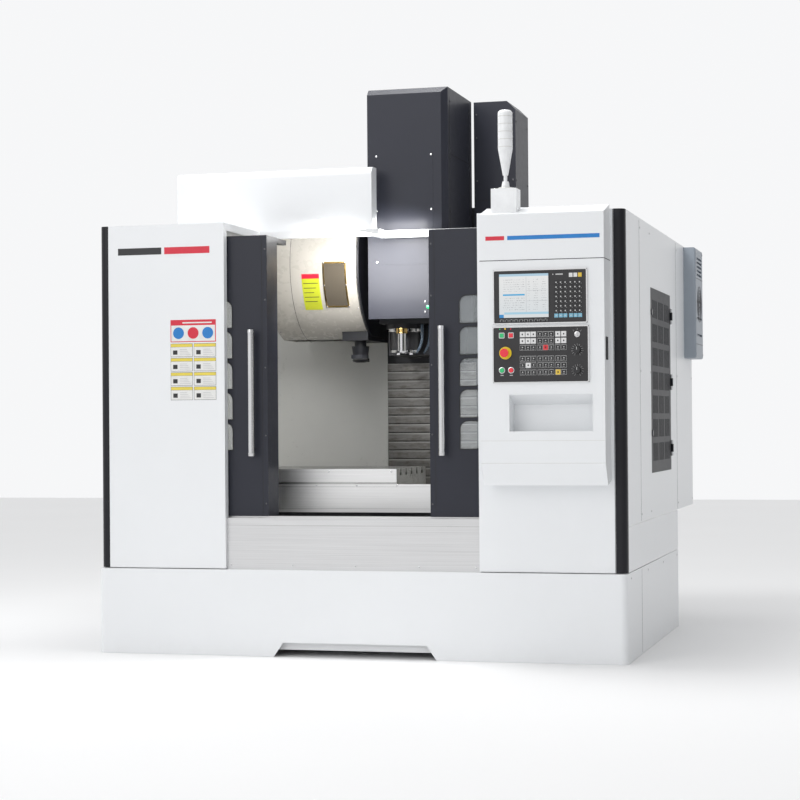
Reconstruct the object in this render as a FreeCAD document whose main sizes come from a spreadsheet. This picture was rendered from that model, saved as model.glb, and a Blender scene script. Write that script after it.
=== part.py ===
import FreeCAD, Part
import math
import os
from types import SimpleNamespace

import Sketcher

# A vertical machining centre in millimetres. Machine coordinates: x = 0 on the spindle
# axis, y = 0 at the front of the base, z = 0 on the floor, +Y to the rear, +X to the right.
# Every placement then subtracts the footprint's middle, which is the part's origin.

SIZES = dict(
    # overall
    width=2500, depth=2391, base_depth=1733, base_height=397, panel_low=401, panel_top=2005,
    sheet=3, thick_sheet=6, seam=4, front_y=10, corner_round=30, snug=0.3,
    # spindle, magazine and changer axes
    spindle_y=930, nose_low=1418, arm_x=-262, arm_y=1033,
    # base
    notch_half=340, notch_height=65, notch_slope=46, base_flange=150,
    tank_half=620, tank_front=34, tank_low=30, tank_height=300,
    foot_radius=60, foot_height=25, foot_stud=14, foot_inset=33, wheel_inset=80,
    # bed and column
    bed_half=400, bed_front=420, bed_back=2180, bed_low=70, bed_top=520, bed_wall=50,
    column_front=1560, column_back=2150, column_half_low=380, column_half_high=300,
    column_taper_top=1100, column_top=2200, column_wall=55,
    # guide rails, carriages and ball screws
    rail_width=45, rail_height=40, y_rail_spread=290, y_rail_back=1460, z_rail_spread=130,
    z_rail_low=990, x_rail_spread=140, x_rail_half=725, x_rail_height=32,
    block_half=45, block_length=120, carriage_gap=4,
    y_screw_radius=18, y_screw_z=553, x_screw_radius=16, x_screw_z=650, trough_floor=628,
    z_screw_radius=20, z_screw_y=1525, stand_rim=5, stand_reach=10, nut_half=44, screw_gap=0.3,
    bearing_length=30,
    motor_half=65, motor_length=170, motor_flange=14,
    # saddle and table
    saddle_low=585, saddle_high=690, saddle_half=730, saddle_front=470, saddle_back=890,
    table_right=95, table_length=1000, table_front=405, table_width=550, table_low=756,
    table_high=851, slot_count=5, slot_pitch=100, slot_width=18, slot_depth=32, tee_width=32,
    tee_height=14, guard_y=398, guard_low=645, guard_high=779,     # head
    slab_half=182, slab_front=1420, slab_back=1493, slab_low=1380, slab_high=2080,
    head_left=-110, head_right=200, head_front=850, head_low=1560, head_high=1900,
    chin_front=1024, chin_low=1409, boss_radius=96, boss_low=1536,
    nose_radius=75, nose_flange_radius=88, nose_flange_height=14, nose_bore=56,
    spindle_gap=0.05, spindle_nose_radius=44, spindle_proud=2, taper_big=22.225, taper_small=12.6,
    taper_length=66, key_width=16, key_height=8,
    spindle_top=1915, spindle_motor_half=105, spindle_motor_high=2330,
    cover_left=-122, cover_right=279, cover_front=700, cover_back=1233, cover_low=1578,
    cover_top=2705, cover_chamfer=28, bracket=60, bore_fit=0.3,
    valve_x=14, valve_radius=22, valve_cap_radius=29, valve_cap_height=26, valve_low=1424,
    # telescopic cover of the vertical axis
    z_cover_half=240, z_cover_y=1463, z_cover_sheet=2.5, z_cover_gap=0.5, z_cover_overlap=20,
    z_cover_fixed_top=876, z_cover_fixed_low=740, z_cover_count=5,
    # tool magazine and changer
    drum_left=-672, drum_right=-200, drum_y=1137, drum_z=1863, drum_radius=379, drum_cut=1496,
    back_plate=10, disc_left=-470, disc_thickness=22, pot_count=16,
    pot_circle=335, pot_lug_drop=24, pin_radius=9, pot_radius=31, pot_length=94, disc_hub=60, disc_radius=300,
    hanger_low=1700, hanger_high=2030, hanger_back=1560,
    box_left=-335, box_front=958, box_back=1330, box_low=1486, box_high=1840,
    shaft_radius=30, hub_radius=45, hub_tip=24, hub_tip_height=12, collar_radius=38, collar_top=1458,
    arm_low=1388, arm_high=1405,
    arm_width=62, grip_radius=33, grip_wall=15, arm_park=54, arm_drop=110,
    # front sheet metal
    opening_left=-620, opening_right=585, trim_left_width=43, trim_right_width=50, trim_inset=8,
    sill_y=30, sill_top=635, sill_fold=34,
    # doors
    door_y=60, door_depth=40, door_low=642, door_high=1945, door_width=660, left_edge=-427,
    right_edge=348, window_inset=142, left_window_inset=173, window_width=102, window_height=124,
    window_pitch=142, window_first=1518, window_count=5, window_round=35, pane=4,
    handle_inset=66, handle_radius=14.5, handle_y=16, handle_low=921, handle_high=1505,
    standoff=9, door_sheet=3, door_rail=20, door_arm_back=350, door_return=150,
    door_arm_width=38, door_arm_height=24,
    # chamber and roof
    tray_post=40, strip_width=30, beam_reach=60, beam_height=10, rear_gate=20,
    chamber_half=1000, chamber_back=1478, liner_high=1690, liner_top=1960, liner_beside_drum=-685,
    tray_z=415, roof_strip=35, strip_one_y=520, strip_one_right=-20, strip_two_y=650,
    roof_depth=740, hood_left=-1057, hood_right=-57, hood_front=540, hood_depth=90,
    hood_high=2308, hood_round=38,
    # right side
    side_lower_top=603, vent_front=794, vent_back=1500, vent_low=820, vent_high=1707,
    vent_columns=3, vent_rows=7, louvre_height=86, louvre_width=14, louvre_pitch=31,
    louvre_count=6, vent_frame=42, vent_depth=18, lock_radius=15, lock_inset=24,
    drive_reach=200, drive_margin=90, drive_pitch=95, drive_wide=75, drive_low=600, drive_high=220,
    back_margin=60, lock_low=1010, lock_high=1590,
    hinge_first=930, hinge_step=335, hinge_count=3, hinge_radius=6, hinge_proud=6.5,
    hinge_half=20, hinge_leaf=15, hinge_pin=2.5, hinge_gap=0.3, cabinet_left=560, cabinet_low=606,
    grille_margin=50, grille_cut=12, intake_pitch=22, intake_drop=150, slot_rise=120, slot_step=90,
    cooler_depth=65, cooler_front=2065, cooler_back=2385, cooler_low=1405, cooler_high=2000,
    # cable duct
    duct_left=290, duct_right=507, duct_front=1240, duct_low=1700, duct_top=2704,
    duct_corner=44,
    # control box
    box_face=-150, control_left=632, control_right=1184, control_low=790, control_high=1980,
    control_rear_top=2024, control_slope=65, control_slope_z=889,
    pocket_left=761, pocket_right=1129, pocket_low=1028, pocket_high=1190, pocket_depth=100,
    pocket_roof=45, screen_left=694, screen_right=1110, screen_low=1498, screen_high=1734,
    keys_left=690, keys_right=1116, keys_low=1240, keys_high=1486, panel_proud=4,
    panel_inset=10, hole_depth=24, control_lift=20, panel_depth=30, button_hole_gap=0.4, button_travel=3,
    square_half=9, button_radius=10, button_proud=7, button_low_x=731, button_high_x=772,
    square_z=1448, start_z=1295.5, stop_x=747, stop_z=1371, stop_radius=19, stop_proud=30,
    stop_stem=8, stop_ring=28, stop_travel=6, dial_x=1065, dial_radius=14, dial_proud=17,
    rib_half=1.5, feed_z=1380, rapid_z=1292, dial_stem=4, key_z=1448, key_radius=8, key_proud=16,
    # tower light
    tower_x=734, tower_y=-64, tower_foot_half=57, tower_foot_depth=46, tower_foot_high=2099,
    tower_nut=20, tower_stem=8, tower_nut_high=2133, tower_stem_high=2160,
    tower_body_high=2277, tower_radius=32.5, tower_high=2450,
)

document = FreeCAD.newDocument("machining_center")
sheet = document.addObject("Spreadsheet::Sheet", "sizes")
for row, (name, value) in enumerate(SIZES.items(), start=1):
    sheet.set(f"A{row}", name)
    sheet.set(f"B{row}", str(value))
    sheet.setAlias(f"B{row}", name)
document.recompute()


class Size:
    # A length that carries both its formula in the sheet and its value.
    def __init__(self, formula, value):
        self.formula = formula
        self.value = value

    def __add__(self, other):
        other = size(other)
        return Size(f"({self.formula} + {other.formula})", self.value + other.value)

    def __sub__(self, other):
        other = size(other)
        return Size(f"({self.formula} - {other.formula})", self.value - other.value)

    def __mul__(self, other):
        other = size(other)
        return Size(f"({self.formula} * {other.formula})", self.value * other.value)

    def __truediv__(self, other):
        other = size(other)
        return Size(f"({self.formula} / {other.formula})", self.value / other.value)

    def __neg__(self):
        return Size(f"(0 - {self.formula})", -self.value)

    def __radd__(self, other):
        return size(other) + self

    def __rsub__(self, other):
        return size(other) - self

    def __rmul__(self, other):
        return size(other) * self


def size(thing):
    return thing if isinstance(thing, Size) else Size(f"({float(thing)})", float(thing))


s = SimpleNamespace(**{name: Size(f"sizes.{name}", float(value)) for name, value in SIZES.items()})
panel_reach = -s.box_face + s.panel_proud + s.stop_proud
origin_x = s.cooler_depth / 2
origin_y = (s.depth - panel_reach) / 2
screw_y = (s.saddle_front + s.saddle_back) / 2
pieces = {}
TURN = {
    "X": FreeCAD.Rotation(FreeCAD.Vector(0, 1, 0), 90),
    "Y": FreeCAD.Rotation(FreeCAD.Vector(1, 0, 0), -90),
    "Z": FreeCAD.Rotation(),
}


def bind(thing, attribute, length):
    thing.setExpression(attribute, size(length).formula)


def place(thing, x, y, z):
    bind(thing, "Placement.Base.x", size(x) - origin_x)
    bind(thing, "Placement.Base.y", size(y) - origin_y)
    bind(thing, "Placement.Base.z", z)
    return thing


def block(x0, x1, y0, y1, z0, z1):
    thing = document.addObject("Part::Box", "block")
    bind(thing, "Length", size(x1) - x0)
    bind(thing, "Width", size(y1) - y0)
    bind(thing, "Height", size(z1) - z0)
    return place(thing, x0, y0, z0)


def round_bar(kind, axis, at, low, high, **radii):
    # at holds the two coordinates across the axis, in x, y, z order
    thing = document.addObject(kind, "round_bar")
    thing.Placement = FreeCAD.Placement(FreeCAD.Vector(), TURN[axis])
    for attribute, radius in radii.items():
        bind(thing, attribute, radius)
    bind(thing, "Height", size(high) - low)
    spot = list(at)
    spot.insert("XYZ".index(axis), low)
    return place(thing, *spot)


def rod(axis, at, radius, low, high):
    return round_bar("Part::Cylinder", axis, at, low, high, Radius=radius)


def cone(axis, at, radius_low, radius_high, low, high):
    return round_bar("Part::Cone", axis, at, low, high, Radius1=radius_low, Radius2=radius_high)


def fuse(*shapes):
    if len(shapes) == 1:
        return shapes[0]
    thing = document.addObject("Part::MultiFuse", "joined")
    thing.Shapes = list(shapes)
    thing.Refine = True
    return thing


def cut(base, *tools):
    thing = document.addObject("Part::Cut", "cut")
    thing.Base = base
    thing.Tool = fuse(*tools)
    thing.Refine = True
    return thing


def group(*shapes):
    thing = document.addObject("Part::Compound", "group")
    thing.Links = list(shapes)
    return thing


def edges_where(thing, test):
    document.recompute()
    found = []
    for number, edge in enumerate(thing.Shape.Edges, start=1):
        ends = [vertex.Point for vertex in edge.Vertexes]
        moved = [FreeCAD.Vector(p.x + origin_x.value, p.y + origin_y.value, p.z) for p in ends]
        if test(moved[0], moved[-1]):
            found.append(number)
    return found


def soften(thing, kind, reach, test):
    softened = document.addObject(kind, "softened")
    softened.Base = thing
    softened.Edges = [(number, reach.value, reach.value) for number in edges_where(thing, test)]
    return softened


def upright(a, b):
    return abs(a.x - b.x) < 0.01 and abs(a.y - b.y) < 0.01


def near(value, length):
    return abs(value - length.value) < 0.01


def outline(plane, points, low, high):
    # a closed outline in machine coordinates, padded from low to high across its plane
    body = document.addObject("PartDesign::Body", "body")
    sketch = body.newObject("Sketcher::SketchObject", "outline")
    face = [f for f in body.Origin.OriginFeatures if f.Role == plane + "_Plane"]
    sketch.AttachmentSupport = [(face[0], "")]
    sketch.MapMode = "FlatFace"
    start = -size(high) if plane == "XZ" else size(low)
    bind(sketch, "AttachmentOffset.Base.z", start)
    spots = [FreeCAD.Vector(size(a).value, size(b).value, 0) for a, b in points]
    for number, spot in enumerate(spots):
        sketch.addGeometry(Part.LineSegment(spot, spots[(number + 1) % len(spots)]))
    for number in range(len(spots)):
        sketch.addConstraint(Sketcher.Constraint("Coincident", number, 2, (number + 1) % len(spots), 1))
    for number, (a, b) in enumerate(points):
        for kind, length in (("DistanceX", size(a)), ("DistanceY", size(b))):
            held = sketch.addConstraint(Sketcher.Constraint(kind, -1, 1, number, 1, length.value))
            sketch.setExpression(f"Constraints[{held}]", length.formula)
    pad = body.newObject("PartDesign::Pad", "pad")
    pad.Profile = sketch
    bind(pad, "Length", size(high) - low)
    return place(body, 0, 0, 0)


def piece(label, thing):
    thing.Label = label
    pieces[label] = thing
    return thing


def span(a, b):
    # the two ends of a stretch in rising order
    a, b = size(a), size(b)
    return (a, b) if a.value < b.value else (b, a)


# ---------------------------------------------------------------- base, bed and column
def levelling_feet():
    feet = []
    middle = (s.bed_front + s.bed_back) / 2
    for side in (-1, 1):
        for y in (s.bed_front + s.foot_inset, middle, s.bed_back - s.foot_inset):
            spot = (side * (s.bed_half - s.foot_inset), y)
            pad = rod("Z", spot, s.foot_radius, 0, s.foot_height)
            stud = rod("Z", spot, s.foot_stud, s.foot_height, s.bed_low)
            feet.append(fuse(pad, stud))
    piece("levelling_feet", group(*feet))


def bed():
    body = block(-s.bed_half, s.bed_half, s.bed_front, s.bed_back, s.bed_low, s.bed_top)
    inside = block(
        s.bed_wall - s.bed_half, s.bed_half - s.bed_wall, s.bed_front + s.bed_wall,
        s.bed_back - s.bed_wall, s.bed_low - 1, s.bed_top - s.bed_wall)
    rib = block(-s.bed_half, s.bed_half, s.column_front - s.bed_wall, s.column_front, s.bed_low,
                s.bed_top)
    bearings = []
    for low in (s.bed_front, s.y_rail_back - s.bearing_length):
        stand = block(-s.nut_half, s.nut_half, low, low + s.bearing_length, s.bed_top,
                      s.y_screw_z + s.y_screw_radius + s.screw_gap + s.stand_rim)
        bearings.append(stand)
    ways = [block(*span(side * s.y_rail_spread - s.rail_width / 2, side * s.y_rail_spread + s.rail_width / 2),
                  s.bed_front, s.y_rail_back, s.bed_top, s.bed_top + s.rail_height) for side in (-1, 1)]
    solid = fuse(cut(body, inside), rib, *bearings, *ways)
    bore = rod("Y", (0, s.y_screw_z), s.y_screw_radius + s.screw_gap, s.bed_front - 1, s.y_rail_back + 1)
    piece("bed", cut(solid, bore))


def column():
    half, high = s.column_half_low, s.column_half_high
    points = [(-half, s.bed_top), (half, s.bed_top), (high, s.column_taper_top), (high, s.column_top),
              (-high, s.column_top), (-high, s.column_taper_top)]
    body = outline("XZ", points, s.column_front, s.column_back)
    pocket = block(s.column_wall - high, high - s.column_wall, s.column_front + s.column_wall,
                   s.column_back + 1, s.bed_top + s.column_wall, s.column_top - s.column_wall)
    stands = []
    way_face = s.column_front - s.rail_height
    for side in (-1, 1):
        x = side * s.z_rail_spread
        stands.append(block(x - s.rail_width / 2, x + s.rail_width / 2, way_face, s.column_front,
                            s.z_rail_low, s.column_top))
    for low in (s.z_rail_low - s.bearing_length, s.column_top - s.bearing_length):
        stands.append(block(-s.nut_half, s.nut_half, s.z_screw_y - s.z_screw_radius - s.stand_reach,
                            s.column_front, low, low + s.bearing_length))
    bore = rod("Z", (0, s.z_screw_y), s.z_screw_radius + s.screw_gap, s.z_rail_low - 100, s.column_top + 1)
    piece("column", cut(fuse(cut(body, pocket), *stands), bore))


def servo_motor(axis, at, face, away):
    # a square servo motor whose mounting face is at face and which points away (+1 or -1)
    half = s.motor_half
    low, high = span(face, face + away * s.motor_length)
    flange_low, flange_high = span(face, face + away * s.motor_flange)
    sides = [(c - half * 0.9, c + half * 0.9) for c in at]
    flange = [(c - half, c + half) for c in at]
    sides.insert("XYZ".index(axis), (low, high))
    flange.insert("XYZ".index(axis), (flange_low, flange_high))
    return fuse(block(*sides[0], *sides[1], *sides[2]), block(*flange[0], *flange[1], *flange[2]))


def drives():
    y_motor = servo_motor("Y", (0, s.y_screw_z), s.bed_front, -1)
    z_motor = servo_motor("Z", (0, s.z_screw_y), s.column_top, 1)
    piece("servo_motors", group(y_motor, z_motor))
    piece("x_motor", servo_motor("X", (screw_y, s.x_screw_z), s.saddle_half, 1))
    gap = s.snug
    piece("y_screw", rod("Y", (0, s.y_screw_z), s.y_screw_radius, s.bed_front + gap, s.y_rail_back - 1))
    piece("z_screw", rod("Z", (0, s.z_screw_y), s.z_screw_radius, s.z_rail_low - s.bearing_length + 1,
                         s.column_top - gap))
    piece("x_screw", rod("X", (screw_y, s.x_screw_z), s.x_screw_radius, 1 - s.saddle_half,
                         s.saddle_half - gap))


# ---------------------------------------------------------------- saddle and table
def carriage(x, y, z_low, z_high, rail, rail_top, along):
    # a bearing block that straddles a rail lying along X or Y
    half, length = s.block_half, s.block_length
    across = rail / 2 + s.snug
    if along == "Y":
        body = block(x - half, x + half, y - length / 2, y + length / 2, z_low, z_high)
        slot = block(x - across, x + across, y - length, y + length, z_low - 1, rail_top + s.snug)
    else:
        body = block(x - length / 2, x + length / 2, y - half, y + half, z_low, z_high)
        slot = block(x - length, x + length, y - across, y + across, z_low - 1, rail_top + s.snug)
    return cut(body, slot)


def saddle():
    low = s.bed_top + s.carriage_gap
    parts = [block(-s.saddle_half, s.saddle_half, s.saddle_front, s.saddle_back, s.saddle_low, s.saddle_high)]
    ends = (s.saddle_front + s.block_length / 2, s.saddle_back - s.block_length / 2)
    for side in (-1, 1):
        for y in ends:
            parts.append(carriage(side * s.y_rail_spread, y, low, s.saddle_low + 1, s.rail_width,
                                  s.bed_top + s.rail_height, "Y"))
    nut = block(-s.nut_half, s.nut_half, screw_y - s.block_length / 2, screw_y + s.block_length / 2,
                low, s.saddle_low + 1)
    parts.append(nut)
    for side in (-1, 1):
        y = screw_y + side * s.x_rail_spread
        parts.append(block(-s.x_rail_half, s.x_rail_half, y - s.rail_width / 2, y + s.rail_width / 2,
                           s.saddle_high, s.saddle_high + s.x_rail_height))
    trough = block(s.bearing_length - s.saddle_half, s.saddle_half - s.bearing_length,
                   screw_y - s.nut_half - s.carriage_gap, screw_y + s.nut_half + s.carriage_gap,
                   s.trough_floor, s.saddle_high + 1)
    y_bore = rod("Y", (0, s.y_screw_z), s.y_screw_radius + s.screw_gap, s.saddle_front - 1, s.saddle_back + 1)
    x_bore = rod("X", (screw_y, s.x_screw_z), s.x_screw_radius + s.screw_gap, -s.saddle_half - 1,
                 s.saddle_half + 1)
    piece("saddle", cut(fuse(*parts), trough, y_bore, x_bore))
    points = [(s.guard_y, s.guard_low), (s.saddle_front, s.guard_low),
              (s.saddle_front, s.guard_low + s.sheet), (s.guard_y + s.sheet, s.guard_low + s.sheet),
              (s.guard_y + s.sheet, s.guard_high), (s.guard_y, s.guard_high)]
    piece("saddle_guard", outline("YZ", points, -s.saddle_half, s.saddle_half))


def table():
    left = s.table_right - s.table_length
    back = s.table_front + s.table_width
    top = block(left, s.table_right, s.table_front, back, s.table_low, s.table_high)
    slots = []
    centre = s.table_front + s.table_width / 2
    for number in range(int(s.slot_count.value)):
        y = centre + (number - (s.slot_count - 1) / 2) * s.slot_pitch
        floor = s.table_high - s.slot_depth
        slots.append(block(left - 1, s.table_right + 1, y - s.slot_width / 2, y + s.slot_width / 2,
                           floor, s.table_high + 1))
        slots.append(block(left - 1, s.table_right + 1, y - s.tee_width / 2, y + s.tee_width / 2,
                           floor, floor + s.tee_height))
    low = s.saddle_high + s.carriage_gap
    middle = s.table_right - s.table_length / 2
    parts = [cut(top, *slots)]
    for side in (-1, 1):
        for end in (-1, 1):
            parts.append(carriage(middle + end * s.table_length / 4, screw_y + side * s.x_rail_spread,
                                  low, s.table_low + 1, s.rail_width, s.saddle_high + s.x_rail_height, "X"))
    parts.append(block(middle - s.block_length / 2, middle + s.block_length / 2, screw_y - s.nut_half,
                       screw_y + s.nut_half, s.trough_floor + s.carriage_gap, s.table_low + 1))
    bore = rod("X", (screw_y, s.x_screw_z), s.x_screw_radius + s.screw_gap, left, s.table_right)
    piece("table", cut(fuse(*parts), bore))


# ---------------------------------------------------------------- head and spindle
def head():
    slab = block(-s.slab_half, s.slab_half, s.slab_front, s.slab_back, s.slab_low, s.slab_high)
    beam = block(s.head_left, s.head_right, s.head_front, s.slab_front + 1, s.head_low, s.head_high)
    chin = block(s.head_left, s.head_right, s.chin_front, s.slab_front + 1, s.chin_low, s.head_low + 1)
    boss = rod("Z", (0, s.spindle_y), s.boss_radius, s.boss_low, s.head_low + 1)
    parts = [slab, beam, chin, boss]
    rail_face = s.column_front - s.rail_height
    for side in (-1, 1):
        x = side * s.z_rail_spread
        for z in (s.slab_low + s.block_length, s.slab_high - s.block_length * 2):
            shoe = block(x - s.block_half, x + s.block_half, s.slab_back - 1, s.column_front - s.carriage_gap,
                         z, z + s.block_length)
            slot = block(x - s.rail_width / 2 - s.snug, x + s.rail_width / 2 + s.snug,
                         rail_face - s.snug, s.column_front, z - 1, z + s.block_length + 1)
            parts.append(cut(shoe, slot))
    nut = block(-s.nut_half, s.nut_half, s.slab_back - 1, s.z_screw_y + s.z_screw_radius + s.stand_reach,
                s.slab_high - s.block_length * 3, s.slab_high - s.block_length * 2)
    parts.append(nut)
    screw_bore = rod("Z", (0, s.z_screw_y), s.z_screw_radius + s.screw_gap, s.slab_low, s.slab_high)
    spindle_bore = rod("Z", (0, s.spindle_y), s.nose_bore + 6 + s.bore_fit, s.boss_low - 1,
                       s.head_high + 1)
    piece("head_casting", cut(fuse(*parts), screw_bore, spindle_bore))


def spindle_group():
    at = (0, s.spindle_y)
    nose = fuse(rod("Z", at, s.nose_radius, s.nose_low, s.boss_low),
                rod("Z", at, s.nose_bore + 6, s.boss_low - 1, s.head_high),
                rod("Z", at, s.nose_flange_radius, s.boss_low - s.nose_flange_height, s.boss_low))
    inside = fuse(rod("Z", at, s.spindle_nose_radius + s.spindle_gap, s.nose_low - 1, s.head_high + 1))
    cartridge = cut(nose, inside)
    low = s.nose_low - s.spindle_proud
    shaft = rod("Z", at, s.spindle_nose_radius, low, s.spindle_top - s.snug)
    taper = cone("Z", at, s.taper_big, s.taper_small, low, low + s.taper_length)
    draw = rod("Z", at, s.taper_small, low + s.taper_length - 1, low + s.taper_length + 60)
    keys = []
    for side in (-1, 1):
        x = side * (s.spindle_nose_radius + s.taper_big) / 2
        keys.append(block(x - s.key_width / 2, x + s.key_width / 2, s.spindle_y - s.key_width / 2,
                          s.spindle_y + s.key_width / 2, low - s.key_height, low + 1))
    piece("spindle", fuse(cut(shaft, taper, draw), *keys))
    half = s.spindle_motor_half
    motor = block(-half, half, s.spindle_y - half, s.spindle_y + half, s.spindle_top, s.spindle_motor_high)
    flange = block(-half - 4, half + 4, s.spindle_y - half, s.spindle_y + half, s.head_high, s.spindle_top)
    hole = rod("Z", at, s.spindle_nose_radius + 5, s.head_high - 1, s.spindle_top)
    piece("spindle_motor", fuse(motor, cut(flange, hole)))
    valve_y = s.spindle_y - s.nose_flange_radius - s.valve_radius
    body = rod("Z", (s.valve_x, valve_y), s.valve_radius, s.valve_low, s.boss_low - s.valve_cap_height)
    cap = rod("Z", (s.valve_x, valve_y), s.valve_cap_radius, s.boss_low - s.valve_cap_height, s.boss_low)
    arm = block(s.valve_x - s.valve_radius / 2, s.valve_x + s.valve_radius / 2, valve_y,
                s.spindle_y - s.nose_radius, s.valve_low, s.boss_low - s.valve_cap_height)
    ring = rod("Z", at, s.nose_flange_radius + s.snug, s.nose_low, s.boss_low)
    piece("spindle_nose", group(cartridge, cut(fuse(body, cap, arm), ring)))


def head_cover():
    outer = block(s.cover_left, s.cover_right, s.cover_front, s.cover_back, s.cover_low, s.cover_top)
    shell = soften(outer, "Part::Chamfer", s.cover_chamfer,
                   lambda a, b: (near(a.y, s.cover_front) and near(b.y, s.cover_front)
                                 and ((upright(a, b) and near(a.x, s.cover_right))
                                      or (near(a.z, s.cover_top) and near(b.z, s.cover_top)))))
    inside = block(s.cover_left + s.sheet, s.cover_right - s.sheet, s.cover_front + s.cover_chamfer,
                   s.cover_back + 1, s.cover_low - 1, s.cover_top - s.cover_chamfer)
    room = block(s.cover_left + s.sheet, s.cover_right - s.cover_chamfer, s.cover_front + s.sheet,
                 s.cover_back + 1, s.cover_low - 1, s.cover_top - s.cover_chamfer)
    lid = block(s.cover_left + s.sheet, s.cover_right - s.sheet, s.cover_front + s.cover_chamfer,
                s.cover_back + 1, s.cover_top - s.cover_chamfer - 1, s.cover_top - s.sheet)
    brackets = []
    for x0, x1 in ((s.cover_left + 1, s.head_left), (s.head_right, s.cover_right - 1)):
        brackets.append(block(x0, x1, s.head_front + s.bracket, s.head_front + s.bracket * 1.6,
                              s.head_high - s.bracket, s.head_high - s.bracket / 3))
    piece("head_cover", fuse(cut(shell, inside, room, lid), *brackets))


def z_covers():
    step = (s.slab_low - s.z_cover_fixed_top) / (s.z_cover_count - 1)
    count = int(s.z_cover_count.value)
    pitch = s.z_cover_sheet + s.z_cover_gap
    for number in range(count):
        front = s.z_cover_y + number * pitch
        top = s.slab_low - number * step
        low = top - step - s.z_cover_overlap
        if number < count - 1:
            plate = block(-s.z_cover_half, s.z_cover_half, front, front + s.z_cover_sheet, low, top)
        else:
            plate = block(-s.z_cover_half, s.z_cover_half, front, front + s.z_cover_sheet,
                          s.z_cover_fixed_low, s.z_cover_fixed_top)
            sides = [block(*span(side * s.z_cover_half, side * (s.z_cover_half - s.z_cover_sheet)),
                           front, s.column_front, s.z_cover_fixed_low, s.z_cover_fixed_top)
                     for side in (-1, 1)]
            plate = fuse(plate, *sides)
        piece(f"z_cover_{number + 1}", plate)


# ---------------------------------------------------------------- tool magazine and changer
def magazine():
    at = (s.drum_y, s.drum_z)
    outer = rod("X", at, s.drum_radius, s.drum_left, s.drum_right)
    inner = rod("X", at, s.drum_radius - s.sheet, s.drum_left + s.sheet, s.drum_right + 1)
    below = block(s.drum_left - 1, s.drum_right + 1, s.drum_y - s.drum_radius, s.drum_y + s.drum_radius,
                  s.drum_z - s.drum_radius - 1, s.drum_cut)
    gearbox_room = block(s.box_left - s.carriage_gap, s.drum_right + 1, s.box_front - s.carriage_gap,
                         s.box_back + s.carriage_gap, s.box_low - 10, s.box_low + 90)
    piece("magazine_cover", cut(outer, inner, below, gearbox_room))
    plate = rod("X", at, s.drum_radius, s.drum_right, s.drum_right + s.back_plate)
    under = block(s.drum_right - 1, s.drum_right + s.back_plate + 1, s.drum_y - s.drum_radius,
                  s.drum_y + s.drum_radius, s.drum_z - s.drum_radius - 1, s.drum_cut + 12)
    axle = rod("X", at, s.disc_hub / 2 - s.snug, s.disc_left - 30, s.drum_right + 1)
    hanger = block(s.drum_right, s.drum_right + s.back_plate, s.drum_y, s.hanger_back,
                   s.hanger_low, s.hanger_high)
    foot = block(s.drum_right - 60, s.drum_right + s.back_plate, s.hanger_back - 20, s.hanger_back,
                 s.hanger_low, s.hanger_high)
    gearbox = block(s.box_left, s.drum_right, s.box_front, s.box_back, s.box_low, s.box_high)
    shaft_bore = rod("Z", (s.arm_x, s.arm_y), s.shaft_radius + s.spindle_gap, s.box_low - 1, s.box_high - 20)
    hub_room = rod("X", at, s.disc_hub + 10, s.box_left - 1, s.drum_right)
    frame = fuse(cut(gearbox, shaft_bore, hub_room), cut(plate, under), axle, hanger, foot)
    piece("changer_frame", frame)
    disc = rod("X", at, s.disc_radius, s.disc_left, s.disc_left + s.disc_thickness)
    hub = rod("X", at, s.disc_hub, s.disc_left - 20, s.disc_left + s.disc_thickness + 40)
    bore = rod("X", at, s.disc_hub / 2 - s.snug + s.spindle_gap, s.disc_left - 25, s.drum_right)
    pot_z = s.drum_z - s.pot_circle
    pin_at = (s.arm_x * 2 + s.pot_lug_drop, pot_z - s.pot_lug_drop)
    pots = []
    for side in (-1, 1):
        reach = s.drum_y + side * (s.pot_radius + s.snug)
        ear = block(pin_at[0] - s.pin_radius * 2, s.disc_left + s.disc_thickness,
                    *span(reach, reach + side * s.pin_radius), pin_at[1] - s.pin_radius * 1.3,
                    s.drum_z - s.disc_radius + 20)
        pots.append(ear)
    turn = 360 / s.pot_count.value
    for number in range(1, int(s.pot_count.value)):
        angle = math.radians(number * turn - 90)
        y = s.drum_y + s.pot_circle * math.cos(angle)
        z = s.drum_z + s.pot_circle * math.sin(angle)
        pots.append(rod("X", (y, z), s.pot_radius, s.disc_left - s.pot_length, s.disc_left))
        lug_y = s.drum_y + (s.disc_radius - 6) * math.cos(angle)
        lug_z = s.drum_z + (s.disc_radius - 6) * math.sin(angle)
        pots.append(rod("X", (lug_y, lug_z), s.pot_radius * 0.8, s.disc_left - s.pot_length * 0.7,
                        s.disc_left + s.disc_thickness))
    half_pin = s.pot_radius + s.snug + s.pin_radius
    pin_hole = rod("Y", pin_at, s.pin_radius * 0.7 + s.snug, s.drum_y - half_pin - 1, s.drum_y + half_pin + 1)
    piece("magazine_disc", cut(fuse(disc, hub, *pots), bore, pin_hole))
    change = fuse(rod("X", (s.drum_y, pot_z), s.pot_radius, s.disc_left - s.pot_length, s.disc_left - s.snug),
                  rod("Y", pin_at, s.pin_radius * 0.7, s.drum_y - half_pin, s.drum_y + half_pin))
    socket = cone("X", (s.drum_y, pot_z), s.taper_big, s.taper_small, s.disc_left - s.pot_length - 0.01,
                  s.disc_left - s.pot_length + s.taper_length)
    piece("change_pot", cut(change, socket))


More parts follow.
